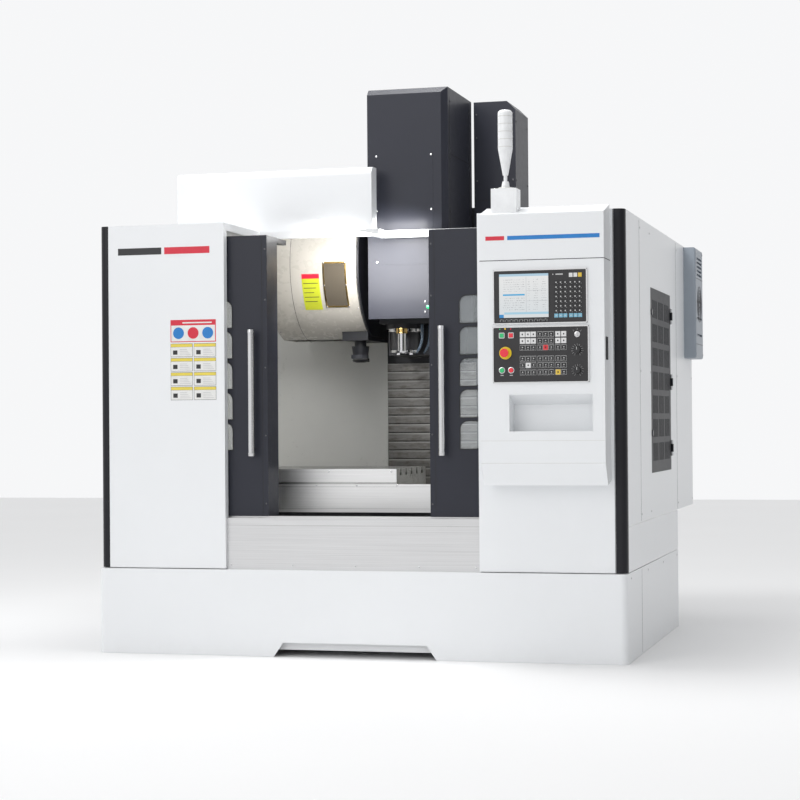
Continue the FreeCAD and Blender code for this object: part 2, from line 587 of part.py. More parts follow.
def changer():
    at = (s.arm_x, s.arm_y)
    shaft = rod("Z", at, s.shaft_radius, s.collar_top - 1, s.box_high - s.arm_drop - 40)
    collar = cone("Z", at, s.collar_radius, s.hub_radius, s.arm_high + s.snug, s.collar_top)
    piece("changer_shaft", fuse(shaft, collar))
    reach = math.hypot(s.arm_x.value, s.arm_y.value - s.spindle_y.value)
    towards = math.degrees(math.atan2(s.spindle_y.value - s.arm_y.value, -s.arm_x.value))
    turned = math.radians(towards - s.arm_park.value)
    along = FreeCAD.Vector(math.cos(turned), math.sin(turned), 0)
    centre = FreeCAD.Vector(s.arm_x.value, s.arm_y.value, 0)
    thick = s.arm_high.value - s.arm_low.value
    bar = Part.makeBox(2 * reach - 2 * s.grip_radius.value, s.arm_width.value, thick)
    bar.translate(FreeCAD.Vector(-reach + s.grip_radius.value, -s.arm_width.value / 2, s.arm_low.value))
    for side in (-1, 1):
        tip = FreeCAD.Vector(side * reach, 0, s.arm_low.value)
        height = s.arm_high.value - s.arm_low.value
        ring = Part.makeCylinder(s.grip_radius.value + s.grip_wall.value, height, tip)
        bar = bar.fuse(ring)
    for side in (-1, 1):
        tip = FreeCAD.Vector(side * reach, 0, s.arm_low.value - 1)
        height = s.arm_high.value - s.arm_low.value + 2
        bar = bar.cut(Part.makeCylinder(s.grip_radius.value, height, tip))
        wide = s.grip_radius.value * 1.9
        mouth = Part.makeBox(wide, 200, height, tip + FreeCAD.Vector(-wide / 2, 0 if side < 0 else -200, 0))
        bar = bar.cut(mouth)
    bar.rotate(FreeCAD.Vector(), FreeCAD.Vector(0, 0, 1), math.degrees(turned))
    bar.translate(centre)
    tip_height = s.hub_tip_height.value
    tip = FreeCAD.Vector(centre.x, centre.y, s.arm_low.value - tip_height)
    hub = Part.makeCone(s.hub_tip.value, s.hub_radius.value, tip_height, tip)
    arm = bar.fuse(hub).removeSplitter()
    swing = document.addObject("Part::Feature", "changer_arm")
    swing.Shape = arm
    place(swing, 0, 0, 0)
    piece("changer_arm", swing)


# ---------------------------------------------------------------- sheet metal of the base
def base_skirt():
    half = s.width / 2
    outer = block(-half, half, 0, s.base_depth, 0, s.base_height)
    rounded = soften(outer, "Part::Fillet", s.corner_round,
                     lambda a, b: upright(a, b) and near(a.y, size(0)))
    inside = block(s.sheet - half, half - s.sheet, s.corner_round, s.base_depth - s.sheet, -1,
                   s.base_height - s.sheet)
    front_room = block(s.corner_round - half, half - s.corner_round, s.sheet, s.corner_round + 1, -1,
                       s.base_height - s.sheet)
    opening = block(s.base_flange - half, half - s.base_flange, s.base_flange,
                    s.base_depth - s.base_flange / 3,
                    s.base_height - s.sheet - 1, s.base_height + 1)
    back_gate = block(-s.bed_half - s.rear_gate, s.bed_half + s.rear_gate, s.base_depth - s.base_flange,
                      s.base_depth + 1, s.rear_gate, s.base_height + 1)
    notch = outline("XZ", [(-s.notch_half - s.notch_slope, -1), (s.notch_half + s.notch_slope, -1),
                           (s.notch_half, s.notch_height), (-s.notch_half, s.notch_height)],
                    -1, s.corner_round + 2)
    piece("base_skirt", cut(rounded, inside, front_room, opening, back_gate, notch))


def coolant_tank():
    half, low, back = s.tank_half, s.tank_low, s.bed_front - s.snug
    outer = block(-half, half, s.tank_front, back, low, s.tank_height)
    inside = block(s.sheet - half, half - s.sheet, s.tank_front + s.sheet, back - s.sheet, low + s.sheet,
                   s.tank_height - s.sheet)
    wheels = [rod("Z", (x, y), s.foot_stud * 2, 0, low)
              for x in (s.wheel_inset - half, half - s.wheel_inset)
              for y in (s.tank_front + s.wheel_inset, back - s.wheel_inset)]
    piece("coolant_tank", fuse(cut(outer, inside), *wheels))


def chip_tray():
    half = s.chamber_half
    tray = block(-half, half, s.door_y - 10, s.chamber_back + s.sheet, s.tray_z, s.tray_z + s.thick_sheet)
    gap = block(-s.bed_half - s.snug, s.bed_half + s.snug, s.bed_front - s.motor_length - s.door_y / 6,
                s.chamber_back + s.tray_post, s.tray_z - 1, s.tray_z + s.thick_sheet + 1)
    posts = [block(*span(side * (half - s.tray_post), side * half), y, y + s.tray_post, s.base_height,
                   s.tray_z + 1)
             for side in (-1, 1) for y in (s.base_flange * 2 / 3, s.chamber_back - s.tray_post)]
    beams = [block(*span(side * (half - s.tray_post), side * (s.width / 2 - s.base_flange + s.beam_reach)),
                   s.chamber_back - s.tray_post, s.chamber_back, s.base_height,
                   s.base_height + s.beam_height) for side in (-1, 1)]
    return fuse(cut(tray, gap), *posts, *beams)


def front_panels():
    low, high = s.panel_low, s.panel_top
    left, right = -s.width / 2 + s.trim_left_width + s.trim_inset, s.width / 2 - s.trim_right_width
    left_points = [(left, s.front_y), (s.opening_left, s.front_y), (s.opening_left, s.door_y - 10),
                   (s.opening_left - s.sheet, s.door_y - 10), (s.opening_left - s.sheet, s.front_y + s.sheet),
                   (left, s.front_y + s.sheet)]
    right_points = [(right, s.front_y), (s.opening_right, s.front_y), (s.opening_right, s.door_y - 10),
                    (s.opening_right + s.sheet, s.door_y - 10),
                    (s.opening_right + s.sheet, s.front_y + s.sheet), (right, s.front_y + s.sheet)]
    sheets = [outline("XY", points, low, high) for points in (left_points, right_points)]
    piece("front_panels", group(*sheets))


def corner_trims():
    trims = []
    for side, reach in ((-1, s.trim_left_width), (1, s.trim_right_width)):
        edge = side * s.width / 2 + (s.trim_inset if side < 0 else 0)
        inner = edge - side * reach
        post = block(*span(inner, edge), s.front_y, s.front_y + s.trim_left_width, s.panel_low, s.panel_top)
        trims.append(soften(post, "Part::Fillet", s.corner_round,
                            lambda a, b, edge=edge: upright(a, b) and near(a.y, s.front_y)
                            and near(a.x, edge)))
    piece("corner_trims", group(*trims))


def vent_knuckles():
    # barrels on the door, and barrels with their pins on the panel, at each hinge of the vent door
    at = (s.width / 2 + s.hinge_proud, s.vent_back)
    face, half, edge = s.width / 2, s.hinge_half, s.vent_back + s.snug
    on_door, on_panel, bores = [], [], []
    for number in range(int(s.hinge_count.value)):
        z = s.hinge_first + number * s.hinge_step
        on_door.append(rod("Z", at, s.hinge_radius, z - half, z + half))
        on_door.append(block(face - 1, face + 2, s.vent_back - s.hinge_leaf, s.vent_back, z - half, z + half))
        bores.append(rod("Z", at, s.hinge_pin + s.hinge_gap, z - half - 1, z + half + 1))
        for low, high in ((z - half * 2, z - half - s.hinge_gap), (z + half + s.hinge_gap, z + half * 2)):
            on_panel.append(rod("Z", at, s.hinge_radius, low, high))
            on_panel.append(block(face - 1, face + 2, edge, edge + s.hinge_leaf, low, high))
        on_panel.append(rod("Z", at, s.hinge_pin, z - half * 2, z + half * 2))
    return on_door, on_panel, bores


def side_panels(on_panel):
    front = s.front_y + s.trim_left_width
    left = -s.width / 2 + s.trim_inset
    left_wall = fuse(
        block(left, left + s.sheet, front, s.base_depth, s.panel_low, s.panel_top),
        block(left, -s.chamber_half - s.sheet, s.base_depth - s.sheet, s.base_depth, s.panel_low,
              s.panel_top))
    right = s.width / 2
    lower = block(right - s.sheet, right, front, s.base_depth, s.panel_low, s.side_lower_top)
    upper = block(right - s.sheet, right, front, s.depth, s.cabinet_low, s.panel_top)
    opening = block(right - s.sheet - 1, right + 1, s.vent_front - s.snug, s.vent_back + s.snug,
                    s.vent_low - s.snug, s.vent_high + s.snug)
    piece("side_panels", group(left_wall, fuse(cut(upper, opening), *on_panel), lower))


def cabinet():
    right = s.width / 2 - s.sheet
    outer = block(s.cabinet_left, right, s.base_depth + s.sheet, s.depth, s.cabinet_low, s.panel_top)
    inside = block(s.cabinet_left + s.sheet, right + 1, s.base_depth + 2 * s.sheet, s.depth - s.sheet,
                   s.cabinet_low + s.sheet, s.panel_top - s.sheet)
    edge = s.back_margin
    back = block(s.cabinet_left + s.sheet - 1, s.cabinet_left + 2 * s.sheet, s.base_depth + edge,
                 s.depth - edge, s.cabinet_low + edge, s.panel_top - edge)
    drives = []
    for number in range(4):
        y = s.base_depth + s.drive_margin + number * s.drive_pitch
        drives.append(block(s.cabinet_left + 2 * s.sheet - 1, s.cabinet_left + s.drive_reach, y,
                            y + s.drive_wide, s.panel_top - s.drive_low, s.panel_top - s.drive_high))
    piece("electrical_cabinet", fuse(cut(outer, inside), back, *drives))


def vent_door(on_door, bores):
    right = s.width / 2
    face = block(right - s.vent_depth, right, s.vent_front + s.snug, s.vent_back - s.snug,
                 s.vent_low + s.snug, s.vent_high - s.snug)
    hollow = block(right - s.vent_depth - 1, right - s.sheet, s.vent_front + s.sheet, s.vent_back - s.sheet,
                   s.vent_low + s.sheet, s.vent_high - s.sheet)
    slots = []
    frame = s.vent_frame
    across = (s.vent_back - s.vent_front - 2 * frame) / s.vent_columns
    tall = (s.vent_high - s.vent_low - 2 * frame) / s.vent_rows
    for column_number in range(int(s.vent_columns.value)):
        for row_number in range(int(s.vent_rows.value)):
            low = s.vent_low + frame + row_number * tall + (tall - s.louvre_height) / 2
            for slot in range(int(s.louvre_count.value)):
                centre = s.vent_front + frame + (column_number + 0.5) * across
                y = centre + (slot - (s.louvre_count - 1) / 2) * s.louvre_pitch
                slots.append(block(right - s.vent_depth - 2, right + 1, y - s.louvre_width / 2,
                                   y + s.louvre_width / 2, low, low + s.louvre_height))
    locks = [rod("X", (s.vent_front + s.lock_inset, z), s.lock_radius * 0.6 + s.snug,
                 right - s.vent_depth - 1, right + 1) for z in (s.lock_low, s.lock_high)]
    piece("vent_door", cut(fuse(cut(face, hollow, *slots, *locks), *on_door), *bores))
    for name, z in (("vent_lock_lower", s.lock_low), ("vent_lock_upper", s.lock_high)):
        at = (s.vent_front + s.lock_inset, z)
        head = rod("X", at, s.lock_radius, right + s.snug, right + s.snug + 5)
        barrel = rod("X", at, s.lock_radius * 0.6, right - s.vent_depth - s.snug - 1, right + s.snug + 1)
        cam = block(right - s.vent_depth - s.snug - 3, right - s.vent_depth - s.snug, at[0] - 6, at[0] + 6,
                    z - 30, z + 8)
        piece(name, fuse(head, barrel, cam))


def cooler():
    right = s.width / 2
    body = block(right, right + s.cooler_depth, s.cooler_front, s.cooler_back, s.cooler_low, s.cooler_high)
    round_body = soften(body, "Part::Fillet", s.panel_proud * 3,
                        lambda a, b: near(a.x, right + s.cooler_depth) and near(b.x, right + s.cooler_depth))
    face, edge = right + s.cooler_depth, s.grille_margin
    grille = []
    for number in range(5):
        z = s.cooler_high - s.intake_drop + number * s.intake_pitch
        grille.append(block(face - s.grille_cut, face + 1, s.cooler_front + edge, s.cooler_back - edge,
                            z, z + s.grille_cut))
    for number in range(3):
        z = s.cooler_low + s.slot_rise + number * s.slot_step
        grille.append(block(face - s.grille_cut, face + 1, s.cooler_front + edge, s.cooler_back - edge,
                            z, z + s.grille_cut))
    piece("cooling_unit", cut(round_body, *grille))


def chamber():
    walls = []
    for side in (-1, 1):
        outer, inner = side * s.chamber_half, side * (s.chamber_half - s.sheet)
        edge = side * (s.z_cover_half + s.seam)
        front = s.door_y + s.door_depth + s.strip_width * 0.4
        low = s.tray_z + s.thick_sheet
        wall = block(*span(outer, inner), front, s.chamber_back, low, s.liner_top)
        beside = side * (s.bed_half + s.snug)
        back = block(*span(outer, beside), s.chamber_back, s.chamber_back + s.sheet, low, s.liner_high)
        above = block(*span(beside, edge), s.chamber_back, s.chamber_back + s.sheet, s.bed_top + s.snug,
                      s.liner_high)
        beside = s.liner_beside_drum if side < 0 else -s.liner_beside_drum
        corner = block(*span(outer, beside), s.chamber_back,
                       s.chamber_back + s.sheet, s.liner_high - 1, s.liner_top)
        walls.append(fuse(wall, back, above, corner))
    piece("chamber_liner", group(chip_tray(), *walls))


def roof():
    low, high, wide = s.panel_top - s.roof_strip, s.panel_top, s.strip_width
    left, right = s.opening_left, s.opening_right
    liner_front = s.door_y + s.door_depth + s.strip_width * 0.4
    trim_left = -s.width / 2 + s.trim_inset + s.trim_left_width
    strips = [
        block(left - wide, left, s.door_y - 10, s.strip_one_y + wide, low, high),
        block(left - wide, s.strip_one_right, s.strip_one_y, s.strip_one_y + wide, low, high),
        block(s.strip_one_right - wide, s.strip_one_right, s.strip_one_y, s.strip_two_y, low, high),
        block(s.strip_one_right - wide, right + wide, s.strip_two_y, s.strip_two_y + wide, low, high),
        block(right, right + wide, s.door_y - 10, s.strip_two_y + wide, low, high),
        block(trim_left, left - wide, s.front_y + s.sheet, s.roof_depth, high - s.sheet, high),
        block(right + wide, s.width / 2 - s.trim_right_width, s.front_y + s.sheet, s.roof_depth,
              high - s.sheet, high),
        block(-s.width / 2 + s.trim_inset + s.sheet, trim_left + 1, s.front_y + s.trim_left_width,
              s.roof_depth, high - s.sheet, high),
        block(s.width / 2 - s.trim_right_width - 1, s.width / 2 - s.sheet,
              s.front_y + s.trim_left_width, s.roof_depth, high - s.sheet, high),
        block(-s.chamber_half, wide - s.chamber_half, liner_front, s.roof_depth, s.liner_top, high),
        block(s.chamber_half - wide, s.chamber_half, liner_front, s.roof_depth, s.liner_top, high),
    ]
    piece("roof_frame", fuse(*strips))


def hood():
    outer = block(s.hood_left, s.hood_right, s.hood_front, s.hood_front + s.hood_depth, s.panel_top,
                  s.hood_high)
    rounded = soften(outer, "Part::Fillet", s.hood_round,
                     lambda a, b: near(a.z, s.hood_high) and near(b.z, s.hood_high)
                     and near(a.y, s.hood_front) and near(b.y, s.hood_front))
    inside = block(s.hood_left + s.sheet, s.hood_right - s.sheet, s.hood_front + s.sheet,
                   s.hood_front + s.hood_depth + 1, s.panel_top - 1, s.hood_high - s.hood_round)
    top = block(s.hood_left + s.sheet, s.hood_right - s.sheet, s.hood_front + s.hood_round,
                s.hood_front + s.hood_depth + 1, s.panel_top, s.hood_high - s.sheet)
    piece("hood", cut(rounded, inside, top))


def sill():
    back = s.sill_y + s.sill_fold + 30
    points = [(s.sill_y, s.base_height), (s.sill_y, s.sill_top), (back, s.sill_top),
              (back, s.sill_top - s.sheet), (s.sill_y + s.sheet, s.sill_top - s.sheet),
              (s.sill_y + s.sheet, s.base_height)]
    middle = s.door_y + s.door_depth / 2
    rail = block(s.left_edge - s.door_width - 5, s.right_edge + s.door_width + 5, middle - s.door_rail / 2,
                 middle + s.door_rail / 2, s.sill_top - s.sheet, s.door_low - s.snug)
    piece("sill_apron", fuse(outline("YZ", points, s.opening_left, s.opening_right), rail))


# ---------------------------------------------------------------- doors
def door(side, edge):
    # side is -1 for the left door and 1 for the right; edge is its closing edge
    name = "left" if side < 0 else "right"
    far = edge + side * s.door_width
    low, high, front = s.door_low, s.door_high, s.door_y
    outer = block(*span(edge, far), front, front + s.door_depth, low, high)
    inside = block(*span(edge + side * s.door_sheet, far - side * s.door_sheet), front + s.door_sheet,
                   front + s.door_depth + 1, low + s.door_sheet, high - s.door_sheet)
    near_x = edge + side * (s.left_window_inset if side < 0 else s.window_inset)
    far_x = near_x + side * s.window_width
    cuts, panes = [inside], []
    for number in range(int(s.window_count.value)):
        z = s.window_first - number * s.window_pitch
        hole = block(*span(near_x, far_x), front - 1, front + s.door_sheet + 1, z, z + s.window_height)
        cuts.append(soften(hole, "Part::Fillet", s.window_round,
                           lambda a, b, z=z: (abs(a.x - b.x) < 0.01 and abs(a.z - b.z) < 0.01)
                           and ((near(a.x, near_x) and near(a.z, z + s.window_height))
                                or (near(a.x, far_x) and near(a.z, z)))))
        panes.append(block(*span(near_x - side * 12, far_x + side * 12), front + s.door_sheet,
                           front + s.door_sheet + s.pane, z - 8, z + s.window_height + 8))
    arm = block(*span(edge + side * s.door_sheet / 2, edge + side * s.door_arm_width),
                front + s.door_depth / 2, s.door_arm_back, high - s.door_arm_height, high - s.door_sheet / 2)
    lip = block(*span(edge, edge + side * s.door_sheet), front, front + s.door_return, low, high)
    piece(f"{name}_door", fuse(cut(outer, *cuts), lip, arm))
    piece(f"{name}_windows", group(*panes))
    x = edge + side * s.handle_inset
    bar = rod("Z", (x, s.handle_y), s.handle_radius, s.handle_low, s.handle_high)
    ends = [rod("Y", (x, z), s.standoff, s.handle_y, front)
            for z in (s.handle_low + 30, s.handle_high - 30)]
    piece(f"{name}_handle", fuse(bar, *ends))


# ---------------------------------------------------------------- control box
def control_box():
    left, right = s.control_left, s.control_right
    face, back = s.box_face, s.front_y
    profile = [(back, s.control_low + s.control_lift), (face + s.control_slope, s.control_low),
               (face, s.control_slope_z), (face, s.control_high), (back, s.control_rear_top)]
    shell = outline("YZ", profile, left, right)
    wall = s.sheet
    inner = [(back + 1, s.control_low + s.control_lift + 2 * wall),
             (face + s.control_slope + wall, s.control_low + 2 * wall),
             (face + wall, s.control_slope_z + wall), (face + wall, s.control_high - wall),
             (back + 1, s.control_rear_top - wall)]
    hollow = outline("YZ", inner, left + wall, right - wall)
    depth = s.pocket_depth
    roof_z = s.pocket_high - s.pocket_roof
    lined = [(face, s.pocket_low - wall), (face + depth + wall, s.pocket_low - wall),
             (face + depth + wall, roof_z + wall), (face, s.pocket_high + wall)]
    pocket_outer = outline("YZ", lined, s.pocket_left - wall, s.pocket_right + wall)
    pocket = outline("YZ", [(face - 1, s.pocket_low), (face + depth, s.pocket_low),
                            (face + depth, roof_z), (face - 1, s.pocket_high)],
                     s.pocket_left, s.pocket_right)
    inset = s.panel_inset
    screens = [block(s.screen_left + inset, s.screen_right - inset, face - 1, face + wall + 1,
                     s.screen_low + inset, s.screen_high - inset),
               block(s.keys_left + inset, s.keys_right - inset, face - 1, face + wall + 1,
                     s.keys_low + inset, s.keys_high - inset)]
    piece("control_box", cut(fuse(cut(shell, hollow), pocket_outer), pocket, *screens))
    proud = face - s.panel_proud
    screen = fuse(block(s.screen_left, s.screen_right, proud, face, s.screen_low, s.screen_high),
                  block(s.screen_left + inset + 1, s.screen_right - inset - 1, face - 1, face + s.panel_depth,
                        s.screen_low + inset + 1, s.screen_high - inset - 1))
    piece("screen_unit", screen)
    plate = fuse(block(s.keys_left, s.keys_right, proud, face, s.keys_low, s.keys_high),
                 block(s.keys_left + inset + 1, s.keys_right - inset - 1, face - 1, face + s.panel_depth,
                       s.keys_low + inset + 1, s.keys_high - inset - 1))
    hole_depth = proud + s.hole_depth
    room = s.button_hole_gap
    holes, movers = [], []
    half, z = s.square_half, s.square_z
    for name, x in (("power_on_button", s.button_low_x), ("power_off_button", s.button_high_x)):
        holes.append(block(x - half - room, x + half + room, proud - 1, hole_depth, z - half - room,
                           z + half + room))
        movers.append((name, block(x - half, x + half, proud - s.button_proud,
                                   hole_depth - s.button_travel - 1, z - half, z + half)))
    for name, x in (("start_button", s.button_low_x), ("hold_button", s.button_high_x)):
        holes.append(rod("Y", (x, s.start_z), s.button_radius + room, proud - 1, hole_depth))
        movers.append((name, rod("Y", (x, s.start_z), s.button_radius, proud - s.button_proud,
                                 hole_depth - s.button_travel - 1)))
    stop_at = (s.stop_x, s.stop_z)
    holes.append(rod("Y", stop_at, s.stop_stem + room, proud - 3, hole_depth))
    movers.append(("emergency_stop", fuse(
        cone("Y", stop_at, s.stop_radius, s.stop_radius - 5, proud - s.stop_proud, proud - s.stop_travel - 7),
        rod("Y", stop_at, s.stop_stem, proud - s.stop_travel - 8, hole_depth - s.stop_travel - 1))))
    ring = rod("Y", stop_at, s.stop_ring, proud - 2, proud + 1)
    for name, z in (("feed_dial", s.feed_z), ("rapid_dial", s.rapid_z)):
        at = (s.dial_x, z)
        holes.append(rod("Y", at, s.dial_stem + room, proud - 1, hole_depth))
        knob = fuse(rod("Y", at, s.dial_radius, proud - s.dial_proud, proud - s.snug),
                    rod("Y", at, s.dial_stem, proud - s.snug - 1, hole_depth - 1),
                    block(s.dial_x - s.rib_half, s.dial_x + s.rib_half, proud - s.dial_proud - 2,
                          proud - s.dial_proud + 1, z, z + s.dial_radius - 1))
        movers.append((name, knob))
    at = (s.dial_x, s.key_z)
    holes.append(rod("Y", at, s.key_radius + room, proud - 1, hole_depth))
    key = fuse(rod("Y", at, s.key_radius, proud - 4, hole_depth - 1),
               block(s.dial_x - s.rib_half, s.dial_x + s.rib_half, proud - s.key_proud, proud - 3,
                     s.key_z - s.key_radius + 1, s.key_z + s.key_radius - 1))
    movers.append(("key_switch", key))
    piece("button_panel", cut(fuse(plate, ring), *holes))
    for name, thing in movers:
        piece(name, thing)


def tower_light():
    at = (s.tower_x, s.tower_y)
    half, deep = s.tower_foot_half, s.tower_foot_depth
    slope = (s.control_rear_top - s.control_high) / (s.front_y - s.box_face)
    near_y, far_y = s.tower_y - deep, s.tower_y + deep
    foot = outline("YZ", [(near_y, s.control_high + slope * (near_y - s.box_face)),
                          (far_y, s.control_high + slope * (far_y - s.box_face)),
                          (far_y, s.tower_foot_high), (near_y, s.tower_foot_high)],
                   s.tower_x - half, s.tower_x + half)
    nut = cone("Z", at, s.tower_nut, s.tower_nut * 0.7, s.tower_foot_high, s.tower_nut_high)
    stem = rod("Z", at, s.tower_stem, s.tower_nut_high - 1, s.tower_stem_high + 1)
    body = cone("Z", at, s.tower_nut / 2 + 2, s.tower_radius, s.tower_stem_high, s.tower_body_high)
    tube = rod("Z", at, s.tower_radius, s.tower_body_high, s.tower_high)
    tube = soften(tube, "Part::Fillet", s.tower_radius * 0.5,
                  lambda a, b: near(a.z, s.tower_high) and near(b.z, s.tower_high))
    piece("tower_light", group(foot, fuse(nut, stem, body, tube)))


def cable_duct():
    left, right, corner = s.duct_left, s.duct_right, s.duct_corner
    points = [(left, s.duct_low), (right, s.duct_low), (right, s.duct_top - corner),
              (right - corner, s.duct_top), (left, s.duct_top)]
    body = outline("XZ", points, s.duct_front, s.column_front)
    inside = block(left + s.sheet, right - s.sheet, s.duct_front + s.sheet, s.column_front - s.sheet,
                   s.duct_low - 1, s.duct_top - corner)
    piece("cable_duct", cut(body, inside))


for build in (levelling_feet, bed, column, drives, saddle, table, head, spindle_group, head_cover,
              z_covers, magazine, changer, base_skirt, coolant_tank, front_panels, corner_trims,
              cabinet, cooler, chamber, roof, hood, sill, control_box, tower_light, cable_duct):
    build()
door_barrels, panel_barrels, pin_bores = vent_knuckles()
side_panels(panel_barrels)
vent_door(door_barrels, pin_bores)
door(-1, s.left_edge)
door(1, s.right_edge)
document.recompute()

faults = [f"{thing.Name} {thing.Label}: {thing.State}" for thing in document.Objects
          if "Invalid" in thing.State or "Error" in thing.State]
for label, thing in pieces.items():
    if thing.Shape.isNull() or not thing.Shape.isValid() or not thing.Shape.Solids:
        faults.append(f"{label} has no sound shape")
if faults:
    raise SystemExit("\n".join(faults))

os.makedirs("parts", exist_ok=True)
for label, thing in pieces.items():
    thing.Shape.exportStep(f"parts/{label}.step")
print(len(pieces), "pieces")
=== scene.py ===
import math

import bmesh
import bpy
from mathutils import Matrix, Vector


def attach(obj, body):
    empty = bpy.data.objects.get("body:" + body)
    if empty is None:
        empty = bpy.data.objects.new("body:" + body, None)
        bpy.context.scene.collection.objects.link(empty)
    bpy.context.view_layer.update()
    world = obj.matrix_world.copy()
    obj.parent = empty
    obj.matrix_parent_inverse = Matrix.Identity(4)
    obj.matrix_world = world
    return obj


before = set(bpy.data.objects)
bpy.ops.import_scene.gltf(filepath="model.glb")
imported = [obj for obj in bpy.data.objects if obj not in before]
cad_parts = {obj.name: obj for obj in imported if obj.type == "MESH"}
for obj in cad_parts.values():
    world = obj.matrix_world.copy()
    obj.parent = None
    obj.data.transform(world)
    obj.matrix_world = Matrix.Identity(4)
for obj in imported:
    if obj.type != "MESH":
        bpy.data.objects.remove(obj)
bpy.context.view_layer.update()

# lengths below are the maker's millimetres: x from the spindle axis, y from the front of the base
origin = dict(x=32.5, y=1103.5)


def at(x, y, z):
    return Vector(((x - origin["x"]) / 1000, (y - origin["y"]) / 1000, z / 1000))


# ---- camera, lights and floor

view = dict(place=(2594, -8702, 1078), yaw=15.23, pitch=-0.60, roll=-0.45, lens=89.83)


def makeCamera():
    yaw, pitch, roll = (math.radians(view[k]) for k in ("yaw", "pitch", "roll"))
    ahead = Vector((-math.sin(yaw) * math.cos(pitch), math.cos(yaw) * math.cos(pitch), -math.sin(pitch)))
    side = Vector((math.cos(yaw), math.sin(yaw), 0))
    up = side.cross(ahead)
    right = side * math.cos(roll) + up * math.sin(roll)
    up = up * math.cos(roll) - side * math.sin(roll)
    camera = bpy.data.objects.new("camera", bpy.data.cameras.new("camera"))
    camera.data.lens = view["lens"]
    camera.data.sensor_width = 36
    turn = Matrix((right, up, -ahead)).transposed().to_4x4()
    camera.matrix_world = Matrix.Translation(at(*view["place"])) @ turn
    bpy.context.collection.objects.link(camera)
    bpy.context.scene.camera = camera


lamps = dict(
    front=dict(place=(-2600, -6500, 4200), aim=(-200, 0, 1100), size=4.0, power=70, tint=(1.0, 0.99, 0.98)),
    top=dict(place=(-100, 300, 4600), aim=(-40, 320, 1000), size=1.6, power=85, tint=(1.0, 1.0, 1.0)),
    inside=dict(place=(-60, 420, 1880), aim=(-260, 1478, 850), size=0.5, power=12, tint=(1.0, 0.99, 0.97)),
)

# the studio is bright all round and dimmer to the right of the machine
studio = dict(bright=0.94, dim=0.42, tint=(0.985, 0.99, 1.0), start=0.05, width=0.75)


def makeLights():
    for name, lamp in lamps.items():
        light = bpy.data.lights.new(name, "AREA")
        light.size, light.energy, light.color = lamp["size"], lamp["power"], lamp["tint"]
        thing = bpy.data.objects.new(name, light)
        place, aim = at(*lamp["place"]), at(*lamp["aim"])
        thing.location = place
        thing.rotation_euler = (aim - place).to_track_quat("-Z", "Y").to_euler()
        bpy.context.collection.objects.link(thing)
    world = bpy.data.worlds.new("studio")
    world.use_nodes = True
    nodes, links = world.node_tree.nodes, world.node_tree.links
    ways = nodes.new("ShaderNodeSeparateXYZ")
    links.new(nodes.new("ShaderNodeTexCoord").outputs["Generated"], ways.inputs[0])
    fade = nodes.new("ShaderNodeMapRange")
    fade.inputs["From Min"].default_value = studio["start"]
    fade.inputs["From Max"].default_value = studio["start"] + studio["width"]
    fade.inputs["To Min"].default_value = studio["bright"]
    fade.inputs["To Max"].default_value = studio["dim"]
    links.new(ways.outputs["X"], fade.inputs["Value"])
    nodes["Background"].inputs["Color"].default_value = (*studio["tint"], 1)
    links.new(fade.outputs["Result"], nodes["Background"].inputs["Strength"])
    bpy.context.scene.world = world
    bpy.context.scene.view_settings.view_transform = "Standard"


# ---- shader maths and finishes

class Val:
    # a socket that takes part in plain arithmetic
    def __init__(self, tree, socket):
        self.tree, self.socket = tree, socket

    def maths(self, operation, *values):
        node = self.tree.nodes.new("ShaderNodeMath")
        node.operation = operation
        for socket, value in zip(node.inputs, values):
            if isinstance(value, Val):
                self.tree.links.new(value.socket, socket)
            else:
                socket.default_value = value
        return Val(self.tree, node.outputs[0])

    def __add__(self, other): return self.maths("ADD", self, other)
    def __radd__(self, other): return self.maths("ADD", other, self)
    def __sub__(self, other): return self.maths("SUBTRACT", self, other)
    def __rsub__(self, other): return self.maths("SUBTRACT", other, self)
    def __mul__(self, other): return self.maths("MULTIPLY", self, other)
    def __rmul__(self, other): return self.maths("MULTIPLY", other, self)
    def __truediv__(self, other): return self.maths("DIVIDE", self, other)
    def __gt__(self, other): return self.maths("GREATER_THAN", self, other)
    def __lt__(self, other): return self.maths("LESS_THAN", self, other)
    def fract(self): return self.maths("FRACT", self)
    def clamp(self): return self.maths("MINIMUM", self.maths("MAXIMUM", self, 0.0), 1.0)
    def between(self, low, high): return (self > low) * (self < high)


